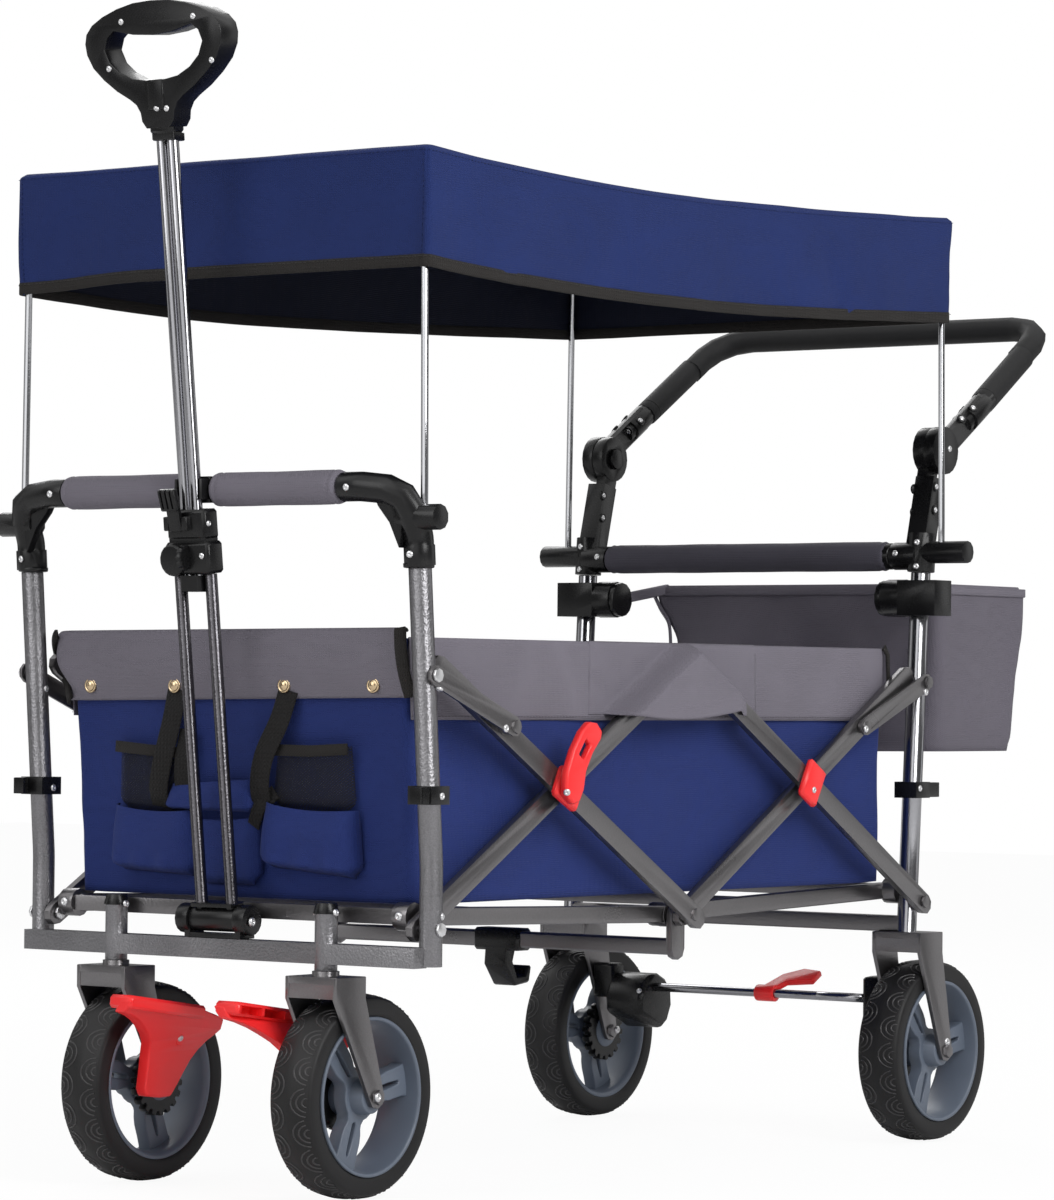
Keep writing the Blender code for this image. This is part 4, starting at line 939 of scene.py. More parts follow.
def front_wall(z):
    """Y of the navy front wall at a height."""
    return between(-0.481, -0.4985, basket_rise(z))


def basket_outline(z, grow=0.0):
    """The ring of the basket at a height, a little wider with grow."""
    half = between(BASKET_HALF_LOW, BASKET_HALF_HIGH, basket_rise(z)) + grow
    rear = between(0.3790, 0.3770, basket_rise(z)) + grow
    return ring(-half, half, front_wall(z) - grow, rear, BASKET_CORNER)


def basket_push(x, y, z, out_x):
    """How far a wall stands out at a place: dents between the corners, and folds that run to the corners."""
    free = arch(basket_rise(z)) ** 0.6
    push = (crumple(x, y, z, 0.12, 0.0046) + crumple(x, y, z, 0.04, 0.0011)) * free
    if abs(out_x) > 0.7:
        pull = math.sin((y * 0.8 + z) * 46) * bell(y + 0.42, 0.10)
        pull += math.sin((y * 0.9 - z) * 40) * bell(y - 0.33, 0.09)
        push += 0.0013 * pull * free
    return push - 0.0012


rows = []
for size in (0.03, 0.3, 0.6, 0.85, 0.96):
    outline = basket_outline(BASKET_LOW)
    shift = BASKET_MIDDLE_Y * (1 - size)
    rows.append([(x * size, y * size + shift, BASKET_LOW) for x, y, _, _ in outline])
for k in range(WALL_ROWS):
    z = between(BASKET_LOW + 0.0015, BASKET_HIGH, k / (WALL_ROWS - 1))
    row = []
    for x, y, out_x, out_y in basket_outline(z):
        push = basket_push(x, y, z, out_x)
        row.append((x + out_x * push, y + out_y * push, z))
    rows.append(row)
basket = loft(
    "basket_cloth", rows, navy_cloth, "front_frame", filled=True, thick=SHEET_THICK, inner=dusk_cloth
)
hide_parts("basket")
print("basket points", len(basket.data.vertices))

# %% [markdown]
# ## The grey band and the two tents
# The band lies outside the navy walls and folds over the top edge. In the middle of each side the scissor
# bars end in a rivet that sticks out above the wall's line, and there the band is cut wider, passes
# outside the bars and covers their ends like a small tent. Its surface is a height field: flat against
# the wall above the bars' upper edge, and pushed out beyond the bars below it, with a smooth step
# between.


# %% The band
BAND_LOW = 0.4725
BAND_OUT, BAND_ROWS, BAND_THICK = 0.0016, 15, 0.0009
# How the band folds over the rim: the distance inwards and down.
BAND_FOLD = ((0.0010, -0.0012), (0.0028, -0.0008), (0.0044, 0.0012), (0.0048, 0.012), (0.0048, 0.030))
# The flap covers the front, so the band starts and ends just behind the front corners.
BAND_START = CORNER - 2
BAND_END = 3 * CORNER + 3 + 2 * (ALONG - 1) + (ACROSS - 1) + 3


def band_outline(z):
    return basket_outline(z, BAND_OUT)[BAND_START:BAND_END]


rows = []
for share in (k / (BAND_ROWS - 1) for k in range(BAND_ROWS)):
    z = between(BAND_LOW, BASKET_HIGH - 0.001, share)
    row = []
    for x, y, out_x, out_y in band_outline(z):
        dent = crumple(x, y, z, 0.09, 0.0011)
        row.append((x + out_x * (dent + 0.0006 * (1 - share)), y + out_y * dent, z))
    rows.append(row)
for inward, down in BAND_FOLD:
    z = BASKET_HIGH - down
    edge = band_outline(BASKET_HIGH)
    rows.append([(x - out_x * inward, y - out_y * inward, z) for x, y, out_x, out_y in edge])
band = loft("basket_band", rows, grey_cloth, "front_frame", closed=False, thick=BAND_THICK)
low_edge = basket_outline(BAND_LOW)[BAND_START:BAND_END]
band_line = [
    (x + out_x * THREAD_OUT, y + out_y * THREAD_OUT, BAND_LOW + 0.0035)
    for (x, y, _), (_, _, out_x, out_y) in zip(rows[0], low_edge)
]
band_thread = stitches("basket_band_thread", band_line, grey_thread, "front_frame")
print("band stitches:", len(band_thread.data.polygons) // 15)

# %% The two tents
BAR_SLOPE = math.radians(30)
BAR_TOP_Z, BAR_TOP_Y = 0.532, -0.041
TENT_FRONT, TENT_REAR = -0.174, 0.0355
TENT_IN, TENT_DEEP, TENT_EDGE = 0.2212, 0.0345, 0.4795
PATCH_FRONT, PATCH_REAR = -0.196, 0.112


def tent_out(y, z):
    """How far the cloth of a tent stands out from the middle of the wagon."""
    bar_z = BAR_TOP_Z - math.tan(BAR_SLOPE) * abs(y - BAR_TOP_Y)
    over = (z - (bar_z + 0.0127)) * math.cos(BAR_SLOPE)
    step = ease(over, 0.0, 0.008) if y < BAR_TOP_Y else ease(over, -0.002, 0.018)
    return TENT_IN + TENT_DEEP * (1 - step)


def tent_low(y):
    """The lower edge of a tent, and of the flat cloth beside it."""
    if not TENT_FRONT < y < TENT_REAR:
        return between(TENT_EDGE, 0.476, min(1, abs(y + 0.07) * 4))
    share = (y - TENT_FRONT) / (TENT_REAR - TENT_FRONT)
    return between(TENT_EDGE, 0.4830, share) - 0.0075 * arch(share)


tents = []
for side, word in ((1, "right"), (-1, "left")):
    rows = []
    for y in (between(PATCH_FRONT, PATCH_REAR, j / 60) for j in range(61)):
        fade = ease(y, PATCH_FRONT, -0.170) * (1 - ease(y, 0.030, PATCH_REAR))
        row = []
        for k in range(29):
            z = between(tent_low(y), BASKET_HIGH + 0.0005, k / 28)
            out = between(TENT_IN, tent_out(y, z), fade)
            out += crumple(y, z, side, 0.05, 0.0010) + 0.0009
            row.append((side * out, y, z))
        row.append((side * (out - 0.0035), y, BASKET_HIGH + 0.0018))
        row.append((side * (out - 0.0080), y, BASKET_HIGH - 0.003))
        rows.append(row if side < 0 else row[::-1])
    tents.append(loft(f"tent_{word}", rows, grey_cloth, "front_frame", closed=False, thick=BAND_THICK))
print("tents:", [t.name for t in tents])

# %% [markdown]
# ## The front flap
# A grey flap hangs over the front edge and buttons down with four snaps. It stands a little away from the
# wall, bulges softly, and its left end has come loose round the corner, so its black binding bows
# outwards. The sheet is a grid: one way across the wagon, the other way from inside the basket, over the
# edge and down the front.


# %% The flap
FLAP_HALF, FLAP_TOP, FLAP_THICK = 0.2150, 0.5575, 0.0010
FLAP_LOW_LEFT, FLAP_LOW_RIGHT = 0.4880, 0.4945
FLAP_BOW, FLAP_SPREAD = 0.030, 0.0300
FLAP_COLUMNS, FLAP_ROWS = 85, 31


def flap_point(across, down):
    """across runs from the left end to the right one, down from the inside edge to the front hem."""
    over = ease(down, 0.0, 0.22)
    front = max(0.0, (down - 0.2) / 0.8)
    top = between(FLAP_TOP + 0.001, FLAP_TOP + 0.004, across)
    low = between(FLAP_LOW_LEFT, FLAP_LOW_RIGHT, across)
    z = between(top - 0.022 * (1 - over) ** 2, low, front)
    bow = arch((z - low) / (top - low))
    left = -FLAP_HALF - FLAP_SPREAD * math.sin(math.pi * min(1.0, front) ** 0.75) - 0.008 * (1 - front)
    x = between(left, FLAP_HALF + 0.0080 * front, across)
    bulge = 0.0035 + 0.0050 * math.sin(math.pi * min(1.0, front)) + 0.0025 * (1 - front)
    y = between(-0.4930, front_wall(z) - bulge, over)
    y += crumple(x, 0.2, z, 0.10, 0.0022) * over
    y += FLAP_BOW * (1 - ease(across, 0.0, 0.055)) * bow
    return (x, y, z)


flap_rows = [
    [flap_point(i / (FLAP_COLUMNS - 1), k / (FLAP_ROWS - 1)) for i in range(FLAP_COLUMNS)]
    for k in range(FLAP_ROWS)
]
flap = loft("front_flap", flap_rows, grey_cloth, "front_frame", closed=False, thick=FLAP_THICK)
print("flap", [round(v, 3) for v in flap_point(0, 1)], [round(v, 3) for v in flap_point(1, 1)])

# %% Straps and bindings that lie flat
RIBBON_LOOP = (
    (-1, -0.6),
    (-0.94, -1),
    (0, -1),
    (0.94, -1),
    (1, -0.6),
    (1, 0.6),
    (0.94, 1),
    (0, 1),
    (-0.94, 1),
    (-1, 0.6),
)


def ribbon(name, line, finish, body, width, thick, towards=(0, -1, 0)):
    """A flat strap along a line. towards is the way its face looks."""
    rows = []
    for number, spot in enumerate(line):
        before, after = Vector(line[max(0, number - 1)]), Vector(line[min(len(line) - 1, number + 1)])
        along = (after - before).normalized()
        side = along.cross(Vector(towards)).normalized()
        face = side.cross(along).normalized()
        half = width / 2
        rows.append([tuple(Vector(spot) + side * half * a + face * thick / 2 * b) for a, b in RIBBON_LOOP])
    return loft(name, rows, finish, body, capped=True)


def moved(line, x_shift, y_shift):
    return [(x + x_shift, y + y_shift, z) for x, y, z in line]


flap_left_line = moved([row[0] for row in flap_rows[7:]], -0.001, -0.001)
flap_right_line = moved([row[-1] for row in flap_rows[4:]], 0.003, -0.0012)
BAND_CORNER_LINE = [
    (0.2226, 0.3700, 0.5545),
    (0.2232, 0.3770, 0.5460),
    (0.2230, 0.3796, 0.5100),
    (0.2226, 0.3796, 0.4735),
]
flap_left = ribbon(
    "flap_binding_left", flap_left_line, binding, "front_frame", 0.0105, 0.0034, (-0.5, -1, 0)
)
flap_right = ribbon("flap_binding_right", flap_right_line, binding, "front_frame", 0.0140, 0.0028)
band_corner = ribbon(
    "band_corner_binding", BAND_CORNER_LINE, binding, "front_frame", 0.0090, 0.0026, (1, 0.3, 0)
)
flap_threads = []
for number, down in enumerate((0.735, 0.985)):
    line = moved([flap_point(i / 60, down) for i in range(61)], 0, -THREAD_OUT)
    flap_threads.append(stitches(f"flap_thread_{number}", line, grey_thread, "front_frame"))
print("flap bindings:", flap_left.name, flap_right.name, band_corner.name)

# %% [markdown]
# ## Pockets on the front wall
# Two pouches of navy cloth bulge from the front wall, each with a panel of black net above it and a taped
# edge on the net. A small flat pocket with a flap sits between them. A pouch is a patch of cloth that is
# larger than the wall behind it: it stands out most at its open top, and is gathered flat along its sides
# and bottom.


# %% Patches that bulge from the front wall
PATCH_STEPS, PATCH_THICK = 28, 0.0010


def patch(name, corners, depth, finish, lift, open_top, sag=0.004, crease=0.0016):
    """corners are (x, z) at top left, top right, bottom left and bottom right.

    open_top is the share of the depth at the open edge.
    """
    (ax, az), (bx, bz), (cx, cz), (dx, dz) = corners
    rows = []
    for down in (k / PATCH_STEPS for k in range(PATCH_STEPS + 1)):
        row = []
        for across in (i / PATCH_STEPS for i in range(PATCH_STEPS + 1)):
            off_middle = 2 * across - 1
            x = between(between(ax, bx, across), between(cx, dx, across), down)
            z = between(between(az, bz, across), between(cz, dz, across), down)
            hump = (1 - off_middle**6) ** 0.5
            fall = between(open_top, 1.0, ease(down, 0, 0.45)) * (1 - ease(down, 0.86, 1.0) ** 2)
            out = lift + depth * hump * fall
            out += crease * hump * math.sin(x * 180 + down * 4) * ease(down, 0.5, 0.9) * fall
            out += crumple(x, 0.7, z, 0.035, crease) * hump
            z -= sag * (1 - off_middle**2) * (1 - down)
            corner = (abs(off_middle) ** 5) * ease(down, 0.8, 1.0)
            x -= 0.010 * corner * (1 if across > 0.5 else -1)
            row.append((x, front_wall(z) - out, z))
        rows.append(row)
    return loft(name, rows, finish, "front_frame", closed=False, thick=PATCH_THICK)


def net_finish():
    """A black net: where two sets of slanting lines both run low, it has a hole."""
    finish = Finish("black_net", Roughness=0.8)
    x, _, z = finish.axes(finish.place())
    one = ((x + z * 1.4) * 800.0).math("SINE").math("ABSOLUTE")
    two = ((x - z * 1.4) * 800.0).math("SINE").math("ABSOLUTE")
    hole = finish.step(one.math("MINIMUM", two), 0.24, 0.32)
    finish.set("Base Color", finish.blend(finish.noise(600.0), linear(16, 16, 17), linear(34, 33, 35)))
    finish.set("Alpha", 1 - hole * 0.9)
    finish.bump(hole * -1.0, 0.0004)
    return finish.material


net = net_finish()
print("a finish with holes:", net.name)

# %% Nets, pouches and the middle pocket
# Corners in x and z, as patch takes them, and for a pouch its depth.
NETS = {
    "net_left": ((-0.1480, 0.4420), (-0.0620, 0.4390), (-0.1525, 0.3800), (-0.0560, 0.3720)),
    "net_right": ((0.0580, 0.4440), (0.1500, 0.4460), (0.0480, 0.3840), (0.1545, 0.3800)),
}
POUCHES = {
    "pouch_left": (((-0.1530, 0.3840), (-0.0500, 0.3790), (-0.1600, 0.3180), (-0.0480, 0.3130)), 0.021),
    "pouch_right": (((0.0450, 0.3900), (0.1570, 0.3830), (0.0340, 0.3260), (0.1600, 0.3160)), 0.023),
}
MIDDLE_POCKET = ((-0.0800, 0.3740), (0.0350, 0.3740), (-0.0500, 0.3060), (0.0300, 0.3060))
MIDDLE_FLAP = ((-0.0760, 0.4050), (0.0260, 0.4110), (-0.0880, 0.3800), (0.0330, 0.3795))
NET_EDGES = {
    "left": ((-0.1495, 0.4420), (-0.1050, 0.4385), (-0.0620, 0.4360)),
    "right": ((0.0560, 0.4410), (0.1050, 0.4405), (0.1505, 0.4430)),
}

pocket_pieces = [
    *(patch(name, corners, 0.006, net, 0.0020, 1.0, crease=0.0006) for name, corners in NETS.items()),
    *(patch(name, corners, depth, navy_cloth, 0.0025, 0.75) for name, (corners, depth) in POUCHES.items()),
    patch("middle_pocket", MIDDLE_POCKET, 0.008, navy_cloth, 0.0020, 1.0, crease=0.0008),
    patch("middle_flap", MIDDLE_FLAP, 0.008, navy_cloth, 0.0090, 0.3, sag=0.0, crease=0.0008),
]
net_tapes = []
for word, places in NET_EDGES.items():
    line = [(x, front_wall(z) - 0.0105, z) for x, z in places]
    net_tapes.append(ribbon(f"net_binding_{word}", line, binding, "front_frame", 0.0115, 0.0022))
print("pockets:", [p.name for p in pocket_pieces])

# %% [markdown]
# ## Straps and snaps
# Two black webbing straps come out from under the flap and hang in front of the pockets. Four snaps hold
# the flap: a brass-coloured cap with a ring pressed into it. A cap is turned, as on a lathe, from a short
# outline.


# %% Straps
def bent(points, steps=10):
    """A smooth line through points."""
    line = []
    for number in range(len(points) - 1):
        a, b, c, d = (Vector(points[max(0, min(len(points) - 1, number + k))]) for k in (-1, 0, 1, 2))
        for t in (k / steps for k in range(steps)):
            first, second = (c - a) * t, (2 * a - 5 * b + 4 * c - d) * t * t
            line.append(tuple(0.5 * ((2 * b) + first + second + (3 * b - a - 3 * c + d) * t**3)))
    line.append(tuple(points[-1]))
    return line


STRAPS = {  # name: (width, points as x, z and the distance out from the wall)
    "strap_right": (
        0.024,
        (
            (0.0750, 0.5000, 0.006),
            (0.0670, 0.4700, 0.012),
            (0.0500, 0.4350, 0.017),
            (0.0420, 0.4050, 0.016),
            (0.0400, 0.3800, 0.008),
        ),
    ),
    "strap_right_inner": (
        0.016,
        ((0.0560, 0.3990, 0.008), (0.0400, 0.3850, 0.013), (0.0280, 0.3650, 0.010)),
    ),
    "strap_left": (
        0.024,
        (
            (-0.0690, 0.5000, 0.006),
            (-0.0740, 0.4650, 0.012),
            (-0.0830, 0.4300, 0.016),
            (-0.0900, 0.4000, 0.016),
            (-0.0930, 0.3820, 0.008),
        ),
    ),
    "strap_left_inner": (
        0.018,
        ((-0.0560, 0.4600, 0.008), (-0.0600, 0.4250, 0.014), (-0.0640, 0.3950, 0.010)),
    ),
}
STRAP_THICK = 0.0020

straps = []
for name, (width, points) in STRAPS.items():
    line = bent([(x, front_wall(z) - out, z) for x, z, out in points])
    straps.append(ribbon(name, line, webbing, "front_frame", width, STRAP_THICK))
print("straps:", len(straps))

# %% A helper for turned pieces, and the snaps
SNAP_SIZE, SNAP_LOW = 1.3, 0.5030
SNAP_CAP = (
    (0.0058, -0.0010),
    (0.0060, 0.0004),
    (0.0054, 0.0014),
    (0.0045, 0.0012),
    (0.0042, 0.0008),
    (0.0034, 0.0022),
    (0.0018, 0.0029),
    (0.0003, 0.0031),
)


def circle(steps):
    """Angles once round a circle."""
    return [math.tau * k / steps for k in range(steps)]


def turned(name, profile, finish, body, place, facing, steps=20):
    """Turns an outline of (radius, height) about the direction that it faces."""
    face = Vector(facing).normalized()
    side = face.orthogonal().normalized()
    other = face.cross(side)
    rows = []
    for radius, height in profile:
        middle = Vector(place) + face * height
        ways = (side * math.cos(t) + other * math.sin(t) for t in circle(steps))
        rows.append([tuple(middle + way * radius) for way in ways])
    return loft(name, rows, finish, body, capped=True)


brass = metal("snap_brass", linear(236, 214, 180), linear(176, 148, 108), 0.2, 1.0)
cap = [(SNAP_SIZE * radius, SNAP_SIZE * height) for radius, height in SNAP_CAP]
snaps = []
for number, x in enumerate((-0.1835, -0.0710, 0.0710, 0.1835)):
    across = (x + FLAP_HALF) / (2 * FLAP_HALF)
    wanted = SNAP_LOW + 0.003 * across
    spot = min((flap_point(across, k / 100) for k in range(60, 100)), key=lambda p: abs(p[2] - wanted))
    place = (x, spot[1] - 0.0012, spot[2])
    snaps.append(turned(f"snap_{number}", cap, brass, "front_frame", place, (0, -1, 0.05)))
print("snaps:", len(snaps))

# %% [markdown]
# ## The floor mat
# Inside the basket lies a stiff padded mat. It is a flat cushion, sewn across in two places so that it
# folds with the floor, and its edges are rounded.


# %% The mat
MAT_HALF, MAT_FRONT, MAT_REAR = 0.208, -0.466, 0.362
MAT_EDGE, MAT_SEAMS = 0.018, (-0.052, -0.30, 0.19)
MAT_UNDER, MAT_TOP, MAT_THICK = 0.2945, 0.2980, 0.010


def mat_height(x, y):
    edge = min(1.0, (MAT_HALF - abs(x)) / MAT_EDGE, (y - MAT_FRONT) / MAT_EDGE, (MAT_REAR - y) / MAT_EDGE)
    crown = math.sqrt(max(0.0, 1 - (1 - max(0.0, edge)) ** 2))
    seam = min(abs(y - seam_y) for seam_y in MAT_SEAMS)
    thick = (MAT_THICK + crumple(x, y, 0.1, 0.09, 0.0012)) * crown
    return MAT_TOP + thick * (0.35 + 0.65 * ease(seam, 0.0, 0.016))


rows = []
for y in (between(MAT_FRONT, MAT_REAR, k / 90) for k in range(91)):
    top = [(x, y, mat_height(x, y)) for x in (between(-MAT_HALF, MAT_HALF, i / 40) for i in range(41))]
    rows.append(top + [(x, y, MAT_UNDER) for x, _, _ in top[::-1]])
mat = loft("floor_mat", rows, dusk_cloth, "front_frame", capped=True)
print("mat", len(mat.data.vertices), "points")

# %% [markdown]
# ## Every piece of the basket and the canopy gets its own mesh
# When the wagon folds, its two ends come together and the cloth between them crumples. Here nothing
# squashes the pieces: each piece of the basket and of the canopy only gets its own copy of its mesh.

# %% Give each piece its own mesh
basket_trim = [band, band_thread, band_corner, *tents, flap, flap_left, flap_right, *flap_threads]
basket_pieces = [basket, *basket_trim, *pocket_pieces, *net_tapes, *straps, *snaps, mat]
canopy_pieces = [canopy, hem, hem_thread, *seam_threads]
for obj in basket_pieces:
    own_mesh(obj)
for obj in canopy_pieces:
    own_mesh(obj)
print("squashed", len(basket_pieces) + len(canopy_pieces))

# %% [markdown]
# ## The storage bag
# A soft open bag hangs behind the handlebar from a wire rim. Only its rim is held, so its walls lean, sag
# and crease, and its bottom is rounded by its own weight. It is lofted like the basket, with a folded
# edge of grey cloth.

# %% The bag
BAG_LOW, BAG_HIGH = 0.4370, 0.6215
BAG_MIDDLE_Y, BAG_ROWS, BAG_THICK = 0.621, 27, 0.0016
BAG_FOLDS = ((-0.10, 0.9, 0.0050), (0.03, -0.7, 0.0038), (0.14, 0.5, 0.0045))  # x, slant, depth
BAG_EDGE_LINE = [
    (-0.2000, 0.5260, 0.6200),
    (-0.1905, 0.5265, 0.6030),
    (-0.1785, 0.5270, 0.5850),
    (-0.1755, 0.5270, 0.5600),
]


def bag_outline(z):
    rise = (z - BAG_LOW) / (BAG_HIGH - BAG_LOW)
    half = between(0.1965, 0.2010, rise**0.7)
    front, rear = between(0.5270, 0.5245, rise), between(0.7150, 0.7225, rise)
    return ring(-half, half, front, rear, between(0.030, 0.012, rise))


def bag_push(x, y, z, rise, out_y):
    """How far a wall of the bag stands out: dents, waves, and three slanting folds in the front and back."""
    free = arch(rise * 0.96 + 0.02) ** 0.7
    dents = crumple(x, y, z * 0.6, 0.10, 0.0085) + crumple(x, y, z, 0.05, 0.0016) - 0.0048
    push = dents * free - 0.004 * (1 - ease(rise, 0, 0.10))
    push += 0.0015 * math.sin(40 * (x + y) + 16 * z) * free
    for foot, slant, deep in BAG_FOLDS:
        push -= deep * bell(x - foot - slant * (z - 0.53), 0.012) * free * abs(out_y)
    return push


rows = []
for size in (0.03, 0.3, 0.6, 0.85, 0.95):
    z = BAG_LOW - 0.003 * (1 - size)
    rows.append(
        [(x * size, BAG_MIDDLE_Y + (y - BAG_MIDDLE_Y) * size, z) for x, y, _, _ in bag_outline(BAG_LOW)]
    )
for rise in (k / (BAG_ROWS - 1) for k in range(BAG_ROWS)):
    z = between(BAG_LOW + 0.004 * (1 - (1 - rise) ** 8), BAG_HIGH, rise)
    row = []
    for x, y, out_x, out_y in bag_outline(z):
        push = bag_push(x, y, z, rise, out_y)
        lean = 0.0225 * (1 - ease(z, 0.560, 0.616)) * ease(-x, 0.12, 0.19) * (1 - ease(y, 0.56, 0.66))
        row.append((x + out_x * push + lean, y + out_y * push, z))
    rows.append(row)
bag = loft("storage_bag_cloth", rows, bag_cloth, "rear_frame", filled=True, thick=BAG_THICK, inner=dusk_cloth)
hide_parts("storage_bag")
print("bag", len(bag.data.vertices), "points")

# %% The bag's edges
bag_rim = [point[2:] for point in bag_outline(BAG_HIGH)]
bag_top = [(x, y, z - 0.003) for x, y, z in rows[-1]]
bag_tape = tape("bag_binding", bag_top, bag_rim, grey_cloth, "rear_frame", 0.009, 0.0060)
bag_edge = ribbon(
    "bag_corner_binding", bent(BAG_EDGE_LINE), grey_cloth, "rear_frame", 0.006, 0.003, (-0.7, -0.7, 0)
)
print("bag trim:", bag_tape.name, bag_edge.name)

# %% [markdown]
# ## Padded sleeves
# Both top bars wear a foam sleeve in grey cloth. The cloth is a tube that is gathered at its ends, so the
# ends are rounded with small puckers, and one long seam runs underneath.


# %% Sleeves
SLEEVE_ROWS, SLEEVE_SIDES = 91, 32
FRONT_BAR_Y, FRONT_BAR_Z = -0.5455, 0.698
REAR_BAR_Y, REAR_BAR_Z = 0.432, 0.6585
SEAM_TURN = 4.4


def sleeve(name, start, end, radius, finish, body):
    """A padded tube, narrow at its ends, with puckers, one groove near each end and a seam underneath."""
    start, end = Vector(start), Vector(end)
    length = (end - start).length
    along = (end - start).normalized()
    side = along.cross(Vector((0, 0, 1))).normalized()
    rise = side.cross(along)
    rows = []
    for share in (k / (SLEEVE_ROWS - 1) for k in range(SLEEVE_ROWS)):
        reach = length * share
        close = min(reach, length - reach)
        shrink = 1 - 0.20 * (1 - ease(close, -0.002, 0.0045)) ** 2
        shrink -= 0.050 * bell(close - 0.0080, 0.0012)
        row = []
        for turn in (math.tau * i / SLEEVE_SIDES for i in range(SLEEVE_SIDES)):
            pucker = 0.0002 * math.sin(turn * 9 + share) * (1 - ease(close, 0.0, 0.02))
            size = radius * shrink + pucker + crumple(reach, turn * 0.01, radius, 0.06, 0.0004)
            size -= 0.0012 * math.exp(-((turn - SEAM_TURN) ** 2) / 0.01)
            row.append(
                tuple(start + along * reach + side * math.cos(turn) * size + rise * math.sin(turn) * size)
            )
        rows.append(row)
    loft(name, rows, finish, body, capped=True)


for side, word in ((1, "right"), (-1, "left")):
    inner_end, outer_end = ((side * x, FRONT_BAR_Y, FRONT_BAR_Z) for x in (0.0190, 0.1765))
    sleeve(f"front_sleeve_{word}", inner_end, outer_end, 0.0168, grey_cloth, "front_frame")
left_end, right_end = ((x, REAR_BAR_Y, REAR_BAR_Z) for x in (-0.1960, 0.1900))
sleeve("rear_sleeve", left_end, right_end, 0.0166, dusk_cloth, "rear_frame")
print("sleeves at", (FRONT_BAR_Y, FRONT_BAR_Z), (REAR_BAR_Y, REAR_BAR_Z))

# %% [markdown]
# ## Foam on the arms of the handlebar
# The foam of the handlebar runs on down its arms. A second length of foam on each arm closes the bare
# stretch between the corner and the moulded arm. Three small lips close seams of the same kind: under each
# front elbow, where the post goes in, and under the collar of the grip.

# %% Foam arms and elbow lips
HUB_PLACE, ARM_TILT = Vector((0, 0.4645, 0.7790)), math.radians(32.4)
ARM_WAY = Vector((0, math.cos(ARM_TILT), math.sin(ARM_TILT)))
ARM_ACROSS = Vector((0, -math.sin(ARM_TILT), math.cos(ARM_TILT)))
FOAM_ARM = (  # distance from the hub, radius
    (0.1080, 0.0110),
    (0.1082, 0.0134),
    (0.1110, 0.0142),
    (0.1190, 0.0143),
    (0.1196, 0.0138),
    (0.1202, 0.0143),
    (0.2200, 0.0144),
)
ELBOW_LIP = ((0.0125, -0.0012), (0.0146, -0.0008), (0.0152, 0.0), (0.0153, 0.0034), (0.0120, 0.0036))
ELBOW_X, ELBOW_Y, ELBOW_Z = 0.2501, -0.5187, 0.6204


def body_of(node):
    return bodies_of(NODES[node])[0]


for side, word in ((1, "right"), (-1, "left")):
    rows = []
    for reach, radius in FOAM_ARM:
        arm_x = side * between(0.2365, 0.2320, (reach - 0.06) / 0.23)
        middle = HUB_PLACE + ARM_WAY * reach + Vector((arm_x, 0, 0))
        rows.append(
            [
                tuple(middle + Vector((math.cos(t) * radius, 0, 0)) + ARM_ACROSS * math.sin(t) * radius)
                for t in circle(28)
            ]
        )
    smooth(loft(f"foam_arm_{word}", rows, foam, body_of("handlebar_grip"), capped=True))
    place = (side * ELBOW_X, ELBOW_Y, ELBOW_Z)
    turned(f"elbow_lip_{word}", ELBOW_LIP, black_plastic, "front_frame", place, (0, 0, 1), 32)
print("foam arms start", FOAM_ARM[0][0], "m from the hub")

# %% [markdown]
# ## Small blocks: plug, grip lip and the right brake cover
# These are upright blocks with rounded edges: a rectangle at each of a few heights, a little smaller at
# both ends. The right brake cover is slim and stands inside the wheel, and the end of the rod runs into
# it.


# %% Plug, lip, cover and rod end
TUBE_FOOT_Y, TUBE_FOOT_Z = -0.5563, 0.5993
GRIP_LIP_Y, TUBE_LENGTH = -0.6045, 0.4442
BLOCK_CORNER, PLUG_FLAT = 0.004, 0.68
PLUG = ((0.5968, 0.010), (0.5970, 0.0132), (0.6125, 0.0132))  # height, half width
LIP = ((1.0395, -0.004), (1.0396, -0.0006), (1.0404, 0.0), (1.0470, 0.0), (1.0472, -0.004))  # height, growth
COVER_X, COVER_Y, COVER_CORNER = (0.1720, 0.1983), (0.4090, 0.4450), 0.005
COVER = (  # height, how much slimmer
    (0.1120, 0.006),
    (0.1140, 0.0012),
    (0.1160, 0.0),
    (0.1800, 0.0),
    (0.1820, 0.0014),
    (0.1835, 0.006),
)
ROD_Y, ROD_Z, ROD_RADIUS = 0.418, 0.158, 0.0051
ROD_END = ((ROD_RADIUS - 0.0003, -0.0100), (ROD_RADIUS, -0.0096), (ROD_RADIUS, 0.0560))


def block(name, levels, node):
    """A black block through (height, outline) levels, riding with a node."""
    rows = [[(x, y, z) for x, y, _, _ in outline] for z, outline in levels]
    made = loft(name, rows, black_plastic, body_of(node), capped=True)
    smooth(made)
    return made


plug_levels = []
for z, wide in PLUG:
    y = TUBE_FOOT_Y - 0.108 * (z - TUBE_FOOT_Z)
    outline = ring(-wide, wide, -wide * PLUG_FLAT, wide * PLUG_FLAT, BLOCK_CORNER)
    plug_levels.append((z, [(x, off + y, *out) for x, off, *out in outline]))
block("tube_plug", plug_levels, "pull_upper_tubes")
lip_levels = []
for z, grow in LIP:
    y = between(TUBE_FOOT_Y, GRIP_LIP_Y, (z - TUBE_FOOT_Z) / TUBE_LENGTH)
    half, deep = 0.0142 + grow, 0.0104 + grow
    lip_levels.append((z, ring(-half, half, y - deep, y + deep, BLOCK_CORNER)))
block("grip_lip", lip_levels, "pull_grip")
cover_levels = [
    (z, ring(COVER_X[0] + slim, COVER_X[1] - slim, COVER_Y[0] + slim, COVER_Y[1] - slim, COVER_CORNER))
    for z, slim in COVER
]
